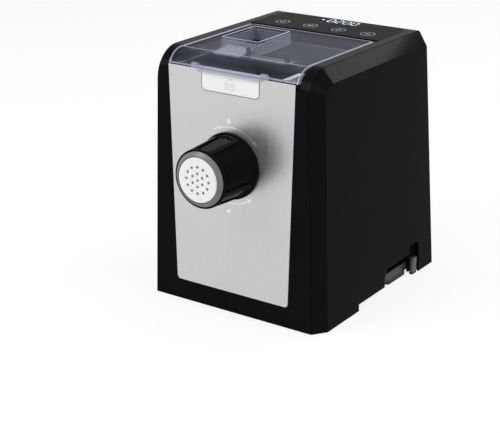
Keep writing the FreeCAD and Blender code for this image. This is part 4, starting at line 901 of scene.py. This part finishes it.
@dataclass
class Studio:
    """The pale floor and backdrop, the lamps and the camera."""

    elevation: float = 20.52
    azimuth: float = 34.50
    lens: float = 98.19
    place: tuple[float, float, float] = (0.83415, -1.28152, 0.65894)
    floor_half: float = 9.0
    floor_front: float = -6.0
    floor_rear: float = 4.0
    backdrop_radius: float = 2.0
    backdrop_steps: int = 16
    floor_colour: float = 0.86
    floor_lift: float = 0.82
    surround: float = 1.0
    fill: float = 0.42
    lamps: tuple[Lamp, ...] = (
        Lamp("key_lamp", (-1.1, -1.7, 1.9), (0.0, 0.0, 0.18), (1.4, 1.0), 38.0),
        Lamp("top_lamp", (0.1, 0.1, 2.2), (0.0, 0.0, 0.2), (1.6, 1.6), 18.0),
        Lamp("side_lamp", (2.0, -0.3, 1.3), (0.0, 0.0, 0.15), (0.9, 1.3), 13.0),
        Lamp("rim_lamp", (0.95, 1.85, 1.45), (0.1, 0.0, 0.28), (0.8, 0.7), 18.0),
    )

    def build(self) -> None:
        """Sets up the floor, the world, the lamps and the camera."""
        self.make_world()
        self.make_floor()
        for lamp in self.lamps:
            lamp.build()
        self.make_camera()
        bpy.context.scene.view_settings.view_transform = "Standard"

    def seen_directly(self, tree: bpy.types.NodeTree) -> bpy.types.NodeSocket:
        """A mask that is 1 for rays from the camera, or off metal or through glass.

        Args:
            tree: the node tree to build it in.

        Returns:
            The mask's socket.
        """
        path = tree.nodes.new("ShaderNodeLightPath")
        total = path.outputs["Is Camera Ray"]
        for name in ("Is Glossy Ray", "Is Transmission Ray"):
            add = tree.nodes.new("ShaderNodeMath")
            add.operation = "MAXIMUM"
            tree.links.new(total, add.inputs[0])
            tree.links.new(path.outputs[name], add.inputs[1])
            total = add.outputs[0]
        return total

    def make_world(self) -> None:
        """Lights the scene evenly, and shows a white surround."""
        world = bpy.data.worlds.new("studio_world")
        bpy.context.scene.world = world
        world.use_nodes = True
        tree = world.node_tree
        background = tree.nodes["Background"]
        background.inputs["Color"].default_value = (1.0, 1.0, 1.0, 1.0)
        level = tree.nodes.new("ShaderNodeMapRange")
        level.inputs["To Min"].default_value = self.fill
        level.inputs["To Max"].default_value = self.surround
        tree.links.new(self.seen_directly(tree), level.inputs["Value"])
        tree.links.new(level.outputs["Result"], background.inputs["Strength"])

    def make_floor(self) -> None:
        """Lays a floor that turns up into a backdrop far behind the machine."""
        bm = bmesh.new()
        front = [bm.verts.new((x, self.floor_front, 0.0)) for x in (-self.floor_half, self.floor_half)]
        edge = bm.edges.new(front)
        along = bmesh.ops.extrude_edge_only(bm, edges=[edge])["geom"]
        rear = [item for item in along if isinstance(item, bmesh.types.BMVert)]
        bmesh.ops.translate(bm, verts=rear, vec=(0.0, self.floor_rear - self.floor_front, 0.0))
        edges = [item for item in along if isinstance(item, bmesh.types.BMEdge)]
        line = [item for item in edges if set(item.verts) == set(rear)]
        bmesh.ops.spin(
            bm, geom=[*rear, *line], cent=(0.0, self.floor_rear, self.backdrop_radius), axis=(1.0, 0.0, 0.0),
            dvec=(0, 0, 0), angle=math.radians(90), steps=self.backdrop_steps, use_merge=False,
            use_duplicate=False,
        )
        bmesh.ops.recalc_face_normals(bm, faces=bm.faces)
        for face in bm.faces:
            face.smooth = True
        mesh = bpy.data.meshes.new("floor_and_backdrop")
        bm.to_mesh(mesh)
        bm.free()
        floor = bpy.data.objects.new("floor_and_backdrop", mesh)
        bpy.context.collection.objects.link(floor)
        mesh.materials.append(self.floor_material())

    def floor_material(self) -> bpy.types.Material:
        """Makes the pale floor, lifted towards white where it is seen.

        Returns:
            The floor's material.
        """
        material = bpy.data.materials.new("studio_floor")
        material.use_nodes = True
        tree = material.node_tree
        shader = tree.nodes["Principled BSDF"]
        shader.inputs["Base Color"].default_value = (self.floor_colour,) * 3 + (1.0,)
        shader.inputs["Roughness"].default_value = 0.9
        shader.inputs["Specular IOR Level"].default_value = 0.1
        glow = tree.nodes.new("ShaderNodeEmission")
        glow.inputs["Color"].default_value = (1.0, 1.0, 1.0, 1.0)
        mix = tree.nodes.new("ShaderNodeMixShader")
        share = tree.nodes.new("ShaderNodeMath")
        share.operation = "MULTIPLY"
        share.inputs[1].default_value = self.floor_lift
        tree.links.new(self.seen_directly(tree), share.inputs[0])
        tree.links.new(share.outputs[0], mix.inputs["Fac"])
        tree.links.new(shader.outputs["BSDF"], mix.inputs[1])
        tree.links.new(glow.outputs["Emission"], mix.inputs[2])
        tree.links.new(mix.outputs["Shader"], tree.nodes["Material Output"].inputs["Surface"])
        return material

    def make_camera(self) -> None:
        """Stands the camera where the photograph was taken from."""
        data = bpy.data.cameras.new("photo_camera")
        data.lens = self.lens
        data.sensor_width = 36.0
        data.clip_end = 100.0
        camera = bpy.data.objects.new("photo_camera", data)
        camera.location = self.place
        tilt = math.radians(90.0 - self.elevation)
        camera.rotation_euler = Euler((tilt, 0.0, math.radians(self.azimuth)))
        bpy.context.collection.objects.link(camera)
        bpy.context.scene.camera = camera


def main() -> None:
    """Builds the sub-assemblies in order and dresses what is left."""
    logging.basicConfig(level=logging.INFO, format="%(name)s: %(message)s")
    make_grain_group()
    make_mottle_group()
    for assembly in (Housing(), SteelFront(), ReleaseButton(), Extruder(), MixingBowl(), Lid(),
                     ControlPanel(), InnerParts(), Studio()):
        assembly.build()
        log.info("%s done", type(assembly).__name__)


if __name__ == "__main__":
    main()
